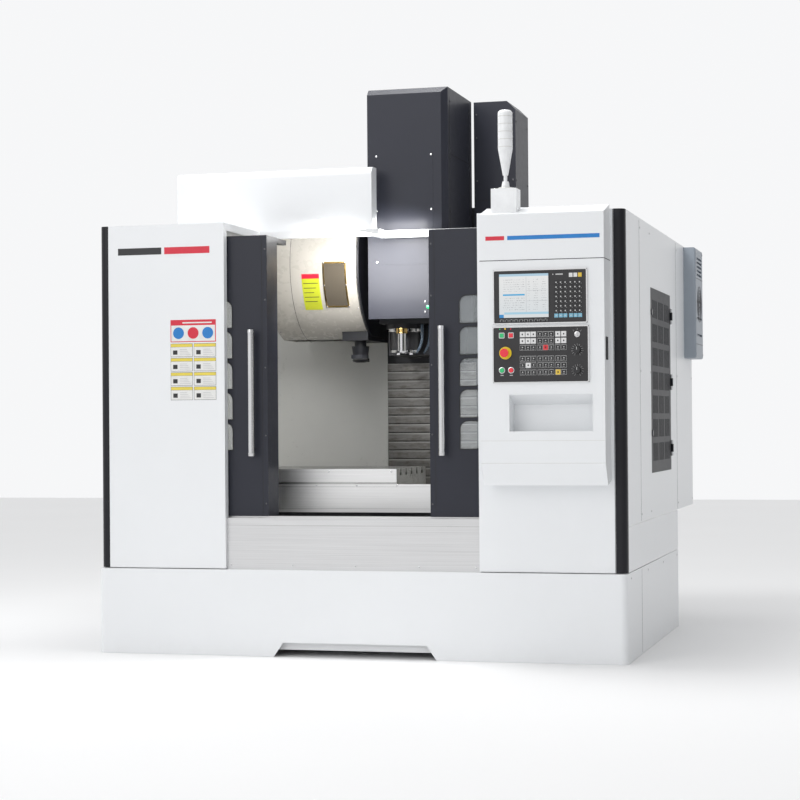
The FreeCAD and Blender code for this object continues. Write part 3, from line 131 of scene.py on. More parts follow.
class Finish:
    # one material; constants go straight on the shader's own sockets
    def __init__(self, name, **sockets):
        self.material = bpy.data.materials.new(name)
        self.material.use_nodes = True
        self.tree = self.material.node_tree
        self.shader = self.tree.nodes["Principled BSDF"]
        for key, value in sockets.items():
            self.set(key, value)
        self.point = self.add("ShaderNodeTexCoord", output="Object")

    def set(self, key, value):
        socket = self.shader.inputs[key.replace("_", " ")]
        if isinstance(value, Val):
            self.tree.links.new(value.socket, socket)
        else:
            socket.default_value = (*value, 1) if isinstance(value, tuple) and len(value) == 3 else value

    def add(self, kind, settings=None, inputs=None, output=0):
        node = self.tree.nodes.new(kind)
        for key, value in (settings or {}).items():
            if key == "stops":
                for number, (place, colour) in enumerate(value):
                    stops = node.color_ramp.elements
                    stop = stops[number] if number < 2 else stops.new(place)
                    stop.position, stop.color = place, (*colour, 1)
            else:
                setattr(node, key, value)
        for key, value in (inputs or {}).items():
            socket = node.inputs[key]
            if isinstance(value, Val):
                self.tree.links.new(value.socket, socket)
            else:
                opaque = isinstance(value, tuple) and socket.type == "RGBA"
                socket.default_value = (*value, 1) if opaque else value
        return Val(self.tree, node.outputs[output])

    def axes(self):
        node = self.add("ShaderNodeSeparateXYZ", inputs={0: self.point}).socket.node
        return [Val(self.tree, socket) for socket in node.outputs]

    def noise(self, scale, detail=3.0, stretch=None, rough=0.55):
        where = self.point
        if stretch:
            where = self.add("ShaderNodeVectorMath", {"operation": "MULTIPLY"}, {0: self.point, 1: stretch})
        return self.add("ShaderNodeTexNoise", inputs={"Vector": where, "Scale": scale, "Detail": detail,
                                                      "Roughness": rough})

    def mix(self, factor, first, second):
        settings = {"data_type": "RGBA"}
        return self.add("ShaderNodeMix", settings, {0: factor, 6: first, 7: second}, output=2)

    def bump(self, height, strength, distance=0.001):
        inputs = {"Height": height, "Strength": strength, "Distance": distance}
        self.set("Normal", self.add("ShaderNodeBump", inputs=inputs))


finishes = {}


def paint(name, colour, shade=0.94, rough=0.35, peel=0.12, coat=0.0, spec=0.5, grime=0.0):
    # stoved enamel or powder coat: cloudy tone, orange peel and a little handling haze
    f = Finish(name, Coat_Weight=coat, Coat_Roughness=0.12, Specular_IOR_Level=spec)
    cloud = f.noise(1.6, 4)
    fine = f.noise(520, 2)
    tone = f.mix((cloud - 0.35) * 2.2, tuple(c * shade for c in colour), colour)
    if grime:
        height = f.axes()[2]
        low = ((0.10 - height) * 9).clamp() * (f.noise(14, 5) * 1.6 - 0.3).clamp()
        tone = f.mix(low * grime, tone, (0.30, 0.28, 0.25))
    speck = (f.noise(210, 2) > 0.74) * 0.10
    f.set("Base Color", f.mix(speck, tone, tuple(c * 0.8 for c in colour)))
    f.set("Roughness", rough + (cloud - 0.5) * 0.10 + (f.noise(34, 3) - 0.5) * 0.10)
    f.bump(fine + f.noise(170, 2) * 0.6, peel, 0.0006)
    finishes[name] = f.material


def metal(name, colour, rough=0.3, grain=(4, 300, 300), depth=0.12, stain=0.0, tint=(0.35, 0.33, 0.30)):
    # drawn or ground metal: long grain across one direction, cloudy polish, optional stains
    f = Finish(name, Metallic=1.0)
    streak = f.noise(1.0, 6, grain, 0.7)
    cloud = f.noise(3.2, 4)
    tone = f.mix((streak - 0.3) * 1.6, tuple(c * 0.72 for c in colour), colour)
    if stain:
        blotch = ((f.noise(9, 6) - 0.50) * 5).clamp()
        tone = f.mix(blotch * stain, tone, tint)
    f.set("Base Color", tone)
    f.set("Roughness", rough + (streak - 0.5) * 0.22 + (cloud - 0.5) * 0.14)
    f.bump(streak, depth, 0.0005)
    finishes[name] = f.material


def plastic(name, colour, rough=0.4, grain=0.15, coat=0.0, glow=0.0):
    f = Finish(name, Coat_Weight=coat, Coat_Roughness=0.08)
    if glow:
        f.set("Emission Color", colour)
        f.set("Emission Strength", glow)
    cloud = f.noise(22, 3)
    f.set("Base Color", f.mix((cloud - 0.3) * 1.5, tuple(c * 0.86 for c in colour), colour))
    f.set("Roughness", rough + (f.noise(90, 3) - 0.5) * 0.16)
    f.bump(f.noise(1400, 2), grain, 0.0003)
    finishes[name] = f.material


def glass(name, tint, alpha, rough=0.04):
    f = Finish(name, IOR=1.45, Specular_IOR_Level=0.6)
    smear = f.noise(7, 5)
    f.set("Base Color", f.mix(smear, tint, tuple(c * 0.9 for c in tint)))
    f.set("Alpha", alpha + (smear - 0.5) * 0.10)
    f.set("Roughness", rough + smear * 0.06)
    finishes[name] = f.material


def foldedSteel(name, colour, pitch=0.046, start=0.876):
    # stained telescopic plates; every pitch a painted shadow band lies just above the fold line and a painted
    # highlight band just below it
    f = Finish(name, Metallic=0.9)
    height = f.axes()[2]
    phase = ((height - start) / pitch).fract()
    # painted shadow: darker just above each fold line
    foldShadow = ((0.16 - phase) * 7).clamp()
    # roll marks a painted highlight: lighter just below each fold line
    roll = ((phase - 0.80) * 5).clamp()
    streak = f.noise(1.0, 6, (9, 9, 260), 0.7)
    blotch = ((f.noise(16, 6, (1, 1, 2.4)) - 0.46) * 5).clamp()
    tone = f.mix((streak - 0.3) * 1.6, tuple(c * 0.6 for c in colour), colour)
    tone = f.mix(blotch * 0.62, tone, (0.16, 0.145, 0.13))
    # near-black painted shadow colour along each fold
    tone = f.mix(foldShadow * 0.85, tone, (0.03, 0.03, 0.03))
    # pale painted highlight colour along each fold
    f.set("Base Color", f.mix(roll * 0.5, tone, (0.9, 0.9, 0.88)))
    f.set("Roughness", 0.34 + (streak - 0.5) * 0.2 + blotch * 0.22)
    f.bump(phase + streak * 0.08 - foldShadow * 0.6, 0.5, 0.004)
    finishes[name] = f.material


def makeFinishes():
    paint("whiteEnamel", (0.83, 0.845, 0.86), 0.975, 0.34, 0.10, 0.10, grime=0.10)
    paint("greyEnamel", (0.74, 0.74, 0.715), 0.86, 0.30, 0.08, 0.15)
    paint("drumEnamel", (0.50, 0.475, 0.43), 0.88, 0.27, 0.07, 0.3)
    paint("darkEnamel", (0.024, 0.026, 0.038), 0.85, 0.40, 0.16, 0.04, 0.32)
    paint("ventEnamel", (0.014, 0.015, 0.020), 0.85, 0.42, 0.16, 0.0, 0.22)
    paint("trimEnamel", (0.008, 0.008, 0.012), 0.8, 0.36, 0.14, 0.08, 0.3)
    paint("castingEnamel", (0.014, 0.015, 0.020), 0.7, 0.45, 0.30)
    paint("coolerEnamel", (0.31, 0.35, 0.40), 0.92, 0.38, 0.12)
    paint("motorEnamel", (0.025, 0.025, 0.028), 0.8, 0.42, 0.2)
    metal("brushedSheet", (0.80, 0.80, 0.805), 0.36, (1.5, 3, 420), 0.10)
    metal("brightSheet", (0.96, 0.96, 0.96), 0.42, (1.5, 3, 420), 0.06)
    metal("groundSteel", (0.55, 0.55, 0.54), 0.30, (3, 400, 400), 0.15, 0.25)
    metal("polishedSteel", (0.86, 0.86, 0.87), 0.12, (60, 60, 3), 0.03)
    metal("brass", (0.83, 0.58, 0.22), 0.22, (80, 80, 80), 0.05, 0.1, (0.4, 0.26, 0.08))
    # dark steel; on the chrome nose sleeve this dark tone is a painted dark reflection
    metal("darkSteelAndDarkReflection", (0.16, 0.16, 0.17), 0.38, (90, 90, 90), 0.1)
    foldedSteel("foldedSteel", (0.42, 0.41, 0.39))
    plastic("panelFilm", (0.024, 0.023, 0.025), 0.42, 0.2)
    plastic("keyDark", (0.016, 0.016, 0.018), 0.34, 0.1)
    plastic("keyWhite", (0.80, 0.80, 0.80), 0.38, 0.1)
    plastic("keyYellow", (0.80, 0.55, 0.06), 0.38, 0.1)
    plastic("keyRed", (0.72, 0.03, 0.04), 0.3, 0.1)
    plastic("keyBlue", (0.22, 0.50, 0.66), 0.38, 0.1)
    plastic("nozzleGrey", (0.10, 0.14, 0.19), 0.34, 0.1, 0.3)
    plastic("markPale", (0.62, 0.62, 0.62), 0.5, 0.05)
    plastic("buttonRed", (0.80, 0.02, 0.04), 0.22, 0.03, 0.5, 0.12)
    plastic("buttonGreen", (0.02, 0.50, 0.16), 0.22, 0.03, 0.5, 0.12)
    plastic("ringYellow", (0.86, 0.66, 0.02), 0.35, 0.05)
    plastic("knobBlack", (0.02, 0.02, 0.022), 0.32, 0.25)
    plastic("lampWhite", (0.86, 0.87, 0.88), 0.30, 0.05, 0.4, 0.06)
    plastic("rubber", (0.012, 0.012, 0.014), 0.62, 0.3)
    plastic("stripeRed", (0.72, 0.02, 0.05), 0.35, 0.05)
    plastic("stripeBlue", (0.01, 0.22, 0.62), 0.35, 0.05)
    plastic("stripeBlack", (0.02, 0.02, 0.022), 0.35, 0.05)
    plastic("cardWhite", (0.86, 0.86, 0.84), 0.4, 0.05)
    plastic("cardYellow", (0.86, 0.70, 0.10), 0.4, 0.05)
    plastic("plateLime", (0.52, 0.56, 0.03), 0.4, 0.05)
    plastic("ledAmber", (0.95, 0.60, 0.02), 0.2, 0.02, 0.3, 0.8)
    glass("windowPane", (0.62, 0.66, 0.68), 0.26)
    glass("smokedPane", (0.10, 0.085, 0.065), 0.93, 0.10)


# the display shows plain rows and bars
display = dict(left=721, right=940, low=1525, high=1716, y=-154.6)


def displayFinish():
    f = Finish("displayGlow", Roughness=0.14, Coat_Weight=0.3, Emission_Strength=0.80)
    x, y, z = f.axes()
    low, high = at(display["left"], 0, display["low"]), at(display["right"], 0, display["high"])
    u = (x - low.x) / (high.x - low.x)
    v = (z - low.z) / (high.z - low.z)
    tone = f.mix(((v - 0.2) * 1.2).clamp(), (0.80, 0.84, 0.86), (0.93, 0.93, 0.92))
    cells = (f.noise(1.0, 2, (620, 1, 150)) > 0.56)
    rows = (v * 19).fract().between(0.28, 0.62)
    leftBlock = u.between(0.08, 0.52) * v.between(0.60, 0.88)
    listBlock = u.between(0.08, 0.52) * v.between(0.15, 0.46)
    rightBlock = u.between(0.58, 0.97) * v.between(0.15, 0.88) * (u * 6).fract().between(0.15, 0.75)
    text = (leftBlock + listBlock + rightBlock).clamp() * rows * cells
    tone = f.mix(text * 0.62, tone, (0.10, 0.10, 0.13))
    lines = (u.between(0.545, 0.552) * v.between(0.12, 0.93) + u.between(0.56, 0.98) * v.between(0.615, 0.622)
             + u.between(0.56, 0.98) * v.between(0.375, 0.382)).clamp()
    tone = f.mix(lines * 0.6, tone, (0.30, 0.32, 0.36))
    tone = f.mix(u.between(0.075, 0.52) * v.between(0.505, 0.54), tone, (0.02, 0.42, 0.78))
    tone = f.mix((v > 0.945) * 0.9, tone, (0.42, 0.66, 0.82))
    tone = f.mix(u.between(0.10, 1.0) * v.between(0.075, 0.125), tone, (0.42, 0.70, 0.86))
    tone = f.mix(u.between(0.0, 0.09) * (v < 0.075), tone, (0.02, 0.28, 0.66))
    f.set("Base Color", f.mix(f.noise(9, 3), (0.012, 0.012, 0.014), (0.02, 0.02, 0.022)))
    f.set("Emission Color", tone)
    finishes["displayGlow"] = f.material


# ---- mesh helpers

def finishPiece(name, bm, body, finish, smooth=True, bevel=0.0):
    if bevel:
        sharp = [e for e in bm.edges if len(e.link_faces) == 2 and e.calc_face_angle(0) > 0.7]
        bmesh.ops.bevel(bm, geom=sharp, offset=bevel / 1000, offset_type="OFFSET", segments=2, profile=0.6,
                        affect="EDGES", clamp_overlap=True)
    bmesh.ops.recalc_face_normals(bm, faces=bm.faces)
    mesh = bpy.data.meshes.new(name)
    bm.to_mesh(mesh)
    bm.free()
    if smooth:
        mesh.shade_smooth()
        mesh.set_sharp_from_angle(angle=math.radians(32))
    mesh.materials.append(finishes[finish])
    piece = bpy.data.objects.new(name, mesh)
    bpy.context.collection.objects.link(piece)
    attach(piece, body)
    return piece


def slab(bm, x0, x1, y0, y1, z0, z1):
    spots = [bm.verts.new(at(x, y, z)) for x in (x0, x1) for y in (y0, y1) for z in (z0, z1)]
    for face in ((0, 1, 3, 2), (4, 6, 7, 5), (0, 4, 5, 1), (2, 3, 7, 6), (0, 2, 6, 4), (1, 5, 7, 3)):
        bm.faces.new([spots[n] for n in face])


def slabs(name, body, finish, boxes, bevel=0.6):
    bm = bmesh.new()
    for box in boxes:
        slab(bm, *box)
    return finishPiece(name, bm, body, finish, True, bevel)


def turn(bm, place, along, profile, segments=32):
    # profile holds (distance along, radius) in millimetres from place
    along = Vector(along).normalized()
    across = along.orthogonal().normalized()
    other = along.cross(across)
    rings = []
    for reach, radius in profile:
        centre = at(*place) + along * (reach / 1000)
        if radius < 0.01:
            rings.append([bm.verts.new(centre)])
            continue
        ring = []
        for n in range(segments):
            angle = 2 * math.pi * n / segments
            ring.append(bm.verts.new(centre + (across * math.cos(angle)
                                               + other * math.sin(angle)) * radius / 1000))
        rings.append(ring)
    for low, high in zip(rings, rings[1:]):
        for n in range(segments):
            m = (n + 1) % segments
            if len(low) == 1 and len(high) == 1:
                continue
            if len(low) == 1:
                bm.faces.new((low[0], high[m], high[n]))
            elif len(high) == 1:
                bm.faces.new((low[n], low[m], high[0]))
            else:
                bm.faces.new((low[n], low[m], high[m], high[n]))


def roundOutline(x0, x1, z0, z1, radii, steps=7):
    # corners run low-left, low-right, high-right, high-left
    points = []
    corners = ((x0, z0, 1, 1, 180), (x1, z0, -1, 1, 270), (x1, z1, -1, -1, 0), (x0, z1, 1, -1, 90))
    for (x, z, dx, dz, start), radius in zip(corners, radii):
        for n in range(steps + 1):
            angle = math.radians(start + 90 * n / steps)
            points.append((x + dx * radius + radius * math.cos(angle),
                           z + dz * radius + radius * math.sin(angle)))
    return points


def rim(bm, x0, x1, z0, z1, radii, width, y0, y1):
    # a flat frame standing from y0 (front) to y1 round an opening
    inner = roundOutline(x0, x1, z0, z1, radii)
    outer = roundOutline(x0 - width, x1 + width, z0 - width, z1 + width, [r + width for r in radii])
    loops = []
    for points, y in ((inner, y1), (inner, y0), (outer, y0), (outer, y1)):
        loops.append([bm.verts.new(at(x, y, z)) for x, z in points])
    count = len(inner)
    for a, b in zip(loops, loops[1:] + loops[:1]):
        for n in range(count):
            m = (n + 1) % count
            bm.faces.new((a[n], a[m], b[m], b[n]))


def drumPatch(bm, x0, x1, low, high, inner, outer, drum, steps=16):
    # a curved sheet on the drum, between two angles above the forward direction
    def spot(x, angle, radius):
        a = math.radians(angle)
        return bm.verts.new(at(x, drum["y"] - radius * math.cos(a), drum["z"] + radius * math.sin(a)))
    rows = []
    for n in range(steps + 1):
        angle = low + (high - low) * n / steps
        rows.append([spot(x0, angle, inner), spot(x0, angle, outer), spot(x1, angle, outer),
                     spot(x1, angle, inner)])
    for a, b in zip(rows, rows[1:]):
        for n in range(4):
            bm.faces.new((a[n], a[(n + 1) % 4], b[(n + 1) % 4], b[n]))
    bm.faces.new(rows[0])
    bm.faces.new(rows[-1][::-1])


def screws(name, body, finish, heads, radius=5, high=2.4):
    # low domed heads with a socket; each head is a place and the way it faces
    bm = bmesh.new()
    shape = [(-1, radius * 0.9), (0, radius), (high * 0.6, radius), (high, radius * 0.72),
             (high, radius * 0.45),
             (high * 0.3, radius * 0.4), (high * 0.3, 0)]
    for place, way in heads:
        turn(bm, place, way, shape, 16)
    return finishPiece(name, bm, body, finish)


# ---- finishes of the frame's own parts

nodeFinishes = dict(
    whiteEnamel=("base_skirt", "front_panels", "side_panels", "electrical_cabinet", "roof_frame", "hood",
                 "control_box",
                 "coolant_tank"),
    greyEnamel=("chamber_liner",),
    drumEnamel=("magazine_cover",),
    darkEnamel=("head_cover", "cable_duct", "left_door", "right_door"),
    ventEnamel=("vent_door",),
    trimEnamel=("corner_trims",),
    castingEnamel=("bed", "column", "saddle", "head_casting", "changer_frame", "changer_shaft",
                   "changer_arm"),
    coolerEnamel=("cooling_unit",),
    motorEnamel=("servo_motors", "x_motor", "spindle_motor"),
    brushedSheet=("sill_apron",),
    brightSheet=("saddle_guard",),
    foldedSteel=("z_cover_1", "z_cover_2", "z_cover_3", "z_cover_4", "z_cover_5"),
    groundSteel=("table", "levelling_feet", "x_screw", "y_screw", "z_screw", "magazine_disc"),
    polishedSteel=("spindle", "spindle_nose", "left_handle", "right_handle", "key_switch"),
    windowPane=("left_windows", "right_windows"),
    panelFilm=("screen_unit", "button_panel", "change_pot"),
    darkSteelAndDarkReflection=("vent_lock_lower", "vent_lock_upper"),
    buttonRed=("power_off_button", "hold_button", "emergency_stop"),
    buttonGreen=("power_on_button", "start_button"),
    knobBlack=("feed_dial", "rapid_dial"),
    lampWhite=("tower_light",),
)


def dressNodes():
    for finish, names in nodeFinishes.items():
        for name in names:
            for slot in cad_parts[name].material_slots:
                slot.material = finishes[finish]


# ---- doors

door = dict(front=60, leftEdge=-427, rightEdge=348, inset=142, leftInset=173, width=102, height=124,
            pitch=142, first=1518,
            count=5, round=35, gasket=4, handleInset=66, handleY=16, handleLow=921, handleHigh=1505,
            handleRadius=14.5, low=642, high=1945)


def makeDoors():
    for side, word, edge in ((-1, "left", door["leftEdge"]), (1, "right", door["rightEdge"])):
        body = word + "_door_leaf"
        bm = bmesh.new()
        near = edge + side * (door["leftInset"] if side < 0 else door["inset"])
        x0, x1 = sorted((near, near + side * door["width"]))
        big, small = door["round"], 1.0
        for n in range(door["count"]):
            z = door["first"] - n * door["pitch"]
            radii = (small, big, small, big) if side > 0 else (big, small, big, small)
            rim(bm, x0, x1, z, z + door["height"], radii, door["gasket"], door["front"] - 1.5,
                door["front"] + 0.2)
        finishPiece(word + "WindowGaskets", bm, body, "rubber")
        handle = edge + side * door["handleInset"]
        bm = bmesh.new()
        r = door["handleRadius"]
        for z, way in ((door["handleLow"], -1), (door["handleHigh"], 1)):
            turn(bm, (handle, door["handleY"], z), (0, 0, way),
                 [(-16, r + 0.2), (-15.5, r + 1.2), (-4, r + 1.2), (0.5, r + 0.6), (2.5, r - 3), (2.6, 0)])
        finishPiece(word + "HandleFittings", bm, body, "polishedSteel")
        heads = [((edge + side * 10, door["front"], z), (0, -1, 0)) for z in (700, 1015, 1330, 1645, 1880)]
        heads += [((edge + side * 22, y, door["high"] - 2), (0, 0, 1)) for y in (150, 250, 330)]
        screws(word + "DoorScrews", body, "darkSteelAndDarkReflection", heads, 4)
        # dark strips along the door's two bends: painted shade where the sheet folds
        x0, x1 = sorted((edge + side * 24, edge + side * 26))
        far0, far1 = sorted((edge + side * 560, edge + side * 562))
        seams = [(x0, x1, door["front"] - 0.5, door["front"] + 0.3, door["low"] + 6, door["high"] - 6),
                 (far0, far1, door["front"] - 0.5, door["front"] + 0.3, door["low"] + 6, door["high"] - 6)]
        slabs(word + "DoorBendShadows", body, "rubber", seams, 0.2)
        s0, s1 = sorted((edge + side * 4, edge + side * 12))
        slabs(word + "DoorSeal", body, "rubber",
              [(s0, s1, door["front"] + 30, door["front"] + 43, door["low"] + 4, door["high"] - 4)], 2)
    print("doors dressed")


# ---- control console

console = dict(face=-150, proud=-154, left=632, right=1184, seam=1777, bends=(987, 889),
               screen=(694, 1110, 1498, 1734), keys=(690, 1116, 1240, 1486),
               columns=(823, 848, 872, 901, 926, 951, 980, 1006), rows=(1451, 1422, 1393, 1345, 1316, 1285),
               keyWide=21, keyTall=22, stop=(747, 1371), dialX=1065,
               dials=dict(feed_rotor=1380, rapid_rotor=1292),
               keySwitch=(1065, 1448), buttonX=(731, 772), startZ=1295.5)


def keyColour(row, column):
    if row < 2 and (column < 3 or column > 5):
        return "keyWhite"
    return {(2, 4): "keyRed", (4, 1): "keyWhite", (5, 6): "keyYellow"}.get((row, column), "keyDark")


def makeConsole():
    y = console["proud"]
    caps = {}
    marks = []
    for r, z in enumerate(console["rows"]):
        for c, x in enumerate(console["columns"]):
            wide, tall = console["keyWide"] / 2, console["keyTall"] / 2
            caps.setdefault("markPale", []).append((x - wide - 1, x + wide + 1, y - 1.4, y + 0.5,
                                                    z - tall - 1, z + tall + 1))
            caps.setdefault(keyColour(r, c), []).append((x - wide, x + wide, y - 2.2, y + 0.5, z - tall,
                                                         z + tall))
            if keyColour(r, c) == "keyDark":
                marks.append((x - 6, x + 4, y - 2.5, y - 2.0, z - 7.5, z - 6.2))
                marks.append((x - 2.4, x + 2.6, y - 2.5, y - 2.0, z - 1, z + 3.5))
                marks.append((x - 9.6, x + 9.6, y - 2.4, y - 2.0, z + 9.4, z + 10.1))
            else:
                caps.setdefault("rubber", []).append((x - 2.6, x + 2.6, y - 2.5, y - 2.0, z - 3.5, z + 3.5))
    for n in range(10):
        x = 732 + n * 21.6
        caps.setdefault("keyDark", []).append((x - 8, x + 8, y - 2, y + 0.5, 1506, 1519))
        marks.append((x - 7.4, x - 6.2, y - 2.3, y - 1.8, 1507.5, 1517.5))
        marks.append((x + 6.2, x + 7.4, y - 2.3, y - 1.8, 1507.5, 1517.5))
        marks.append((x - 4, x + 4, y - 2.3, y - 1.8, 1516.5, 1517.6))
    for block, start in enumerate((968, 1033)):
        for c in range(3):
            x = start + c * 20 + 6
            for r in range(9):
                z = 1695 - r * 20.6
                if r == 0:
                    if block:
                        shade = "keyYellow" if c == 2 else "keyWhite"
                        caps.setdefault(shade, []).append((x - 8, x + 8, y - 2, y + 0.5, z + 2, z + 20))
                    continue
                shade = "keyBlue" if r == 8 else "keyDark"
                caps.setdefault(shade, []).append((x - 8.4, x + 8.4, y - 2, y + 0.5, z - 8, z + 9))
                if shade == "keyDark":
                    marks.append((x - 2.2 - 2 * block, x + 2.8 - 2 * block, y - 2.3, y - 1.8, z - 2, z + 3.6))
                    marks.append((x + 4.2, x + 6.4, y - 2.3, y - 1.8, z - 6.4, z - 4.6))
                else:
                    marks.append((x - 3, x + 3, y - 2.3, y - 1.8, z - 2, z + 2))
    for number, (shade, boxes) in enumerate(sorted(caps.items())):
        slabs(f"keyCaps{number + 1}", "frame", shade, boxes, 0.9 if shade != "rubber" else 0.1)
    bm = bmesh.new()
    scales = [(console["dialX"], z, range(-150, 151, 25)) for z in console["dials"].values()]
    scales.append((*console["keySwitch"], (-45, 0, 45)))
    for x, z, turns in scales:
        for angle in turns:
            a = math.radians(angle)
            for reach in (20, 25):
                px, pz = x + reach * math.sin(a), z + reach * math.cos(a)
                turn(bm, (px, y, pz), (0, -1, 0), [(0, 1.1), (0.35, 1.1), (0.35, 0)], 8)
    finishPiece("dialScales", bm, "frame", "markPale")
    marks += [(958, 962, y - 0.5, y + 0.2, 1708, 1713), (972, 1004, y - 0.5, y + 0.2, 1708, 1713)]
    marks += [(x - 7, x + 7, y - 0.5, y + 0.2, 1272, 1275) for x in console["buttonX"]]
    slabs("keyMarks", "frame", "markPale", marks, 0.1)
    s = display
    slabs("display", "frame", "displayGlow",
          [(s["left"], s["right"], s["y"], y + 0.2, s["low"], s["high"])], 0.3)
    for name, box, width, finish in (("screenFrame", console["screen"], 5, "brushedSheet"),
                                     ("keyFrame", console["keys"], 5, "brushedSheet")):
        bm = bmesh.new()
        x0, x1, z0, z1 = box
        rim(bm, x0 + 4, x1 - 4, z0 + 4, z1 - 4, [5] * 4, width, y - 3.5, console["face"] + 0.5)
        finishPiece(name, bm, "frame", finish)
    bm = bmesh.new()
    rim(bm, s["left"], s["right"], s["low"], s["high"], [1] * 4, 5, y - 1.2, y + 0.2)
    finishPiece("displayFrame", bm, "frame", "knobBlack")
    bm = bmesh.new()
    radius = 10.6
    for x in console["buttonX"]:
        turn(bm, (x, y, console["startZ"]), (0, -1, 0),
             [(0, radius), (0, radius + 4), (2.2, radius + 3.4), (3, radius + 0.4), (0, radius)])
    rim(bm, 721.4, 740.6, 1438.4, 1457.6, [1] * 4, 3, y - 2.4, y + 0.2)
    rim(bm, 762.4, 781.6, 1438.4, 1457.6, [1] * 4, 3, y - 2.4, y + 0.2)
    turn(bm, (console["keySwitch"][0], y, console["keySwitch"][1]), (0, -1, 0),
         [(0, 8.6), (0, 13), (2, 12.4), (2.6, 8.6)])
    finishPiece("buttonBezels", bm, "frame", "polishedSteel")
    for body, z in console["dials"].items():
        slabs(body + "Pointer", body, "markPale",
              [(console["dialX"] - 1.2, console["dialX"] + 1.2, y - 19.6, y - 19.0, z + 1, z + 13)], 0.1)
    bm = bmesh.new()
    turn(bm, (console["stop"][0], y - 2, console["stop"][1]), (0, -1, 0),
         [(0, 8.6), (0, 27.5), (1.2, 27.5), (2.2, 26), (2.2, 8.6)], 48)
    finishPiece("stopRing", bm, "frame", "ringYellow")
    for name, shade, spots in (("lampsAmber", "ledAmber", ((746, 1477),)),
                               ("lampsRed", "buttonRed", ((771, 1476),)),
                               ("lampsGreen", "buttonGreen", ((722, 1476),))):
        bm = bmesh.new()
        for x, z in spots:
            turn(bm, (x, y, z), (0, -1, 0), [(-0.5, 2.8), (0.8, 2.8), (1.8, 1.8), (2.1, 0)], 16)
        finishPiece(name, bm, "frame", shade)
    face = console["face"]
    left, right = console["left"], console["right"]
    lines = [(left + 0.5, right - 0.5, face - 0.5, face + 1, console["seam"] - 1.5, console["seam"] + 1.5)]
    lines += [(right - 1, right + 0.5, face + 0.5, 10, console["seam"] - 1.5, console["seam"] + 1.5)]
    slabs("consoleSeam", "frame", "rubber", lines, 0.3)
    # grey strips along the console's bends: painted shade where the sheet folds
    bendShadows = [(left + 1, right - 1, face - 0.4, face + 1, z - 0.8, z + 0.8) for z in console["bends"]]
    slabs("consoleBendShadows", "frame", "greyEnamel", bendShadows, 0.2)
    slabs("sideSlot", "frame", "rubber", [(right - 1, right + 1.2, -122, -63, 1337, 1437)], 0.6)
    slabs("fasciaStripes", "frame", "stripeBlue", [(758, 1166, face - 0.5, face + 0.3, 1866, 1884)], 0.2)
    slabs("fasciaBlock", "frame", "stripeRed", [(660, 744, face - 0.5, face + 0.3, 1866, 1884)], 0.2)
    bm = bmesh.new()
    rim(bm, 761, 1129, 1028, 1190, [1] * 4, 3, face - 0.6, face + 0.5)
    finishPiece("pocketLip", bm, "frame", "whiteEnamel")
    print("console dressed")


# ---- signal tower

tower = dict(x=734, y=-64, foot=2099, radius=32.5)


def makeTower():
    t = tower
    bm = bmesh.new()
    turn(bm, (t["x"], t["y"], t["foot"]), (0, 0, 1), [(0, 21), (0, 34), (4, 34), (7, 30), (8, 21)], 40)
    for z in (2284, 2318, 2352, 2386, 2420):
        turn(bm, (t["x"], t["y"], z), (0, 0, 1),
             [(0, t["radius"] - 0.2), (0.8, t["radius"] + 0.9), (2.4, t["radius"] + 0.9),
              (3.2, t["radius"] - 0.2)], 40)
    finishPiece("towerRings", bm, "frame", "greyEnamel")
    heads = [((t["x"] + sx * 42, t["y"] + sy * 34, t["foot"]), (0, 0, 1)) for sx in (-1, 1) for sy in (-1, 1)]
    screws("towerScrews", "frame", "polishedSteel", heads, 4)
    print("signal tower dressed")


# ---- placards and stripes on the left panel

cards = dict(face=10, left=-886, right=-661, top=1557, tall=104, gap=7, small=62)


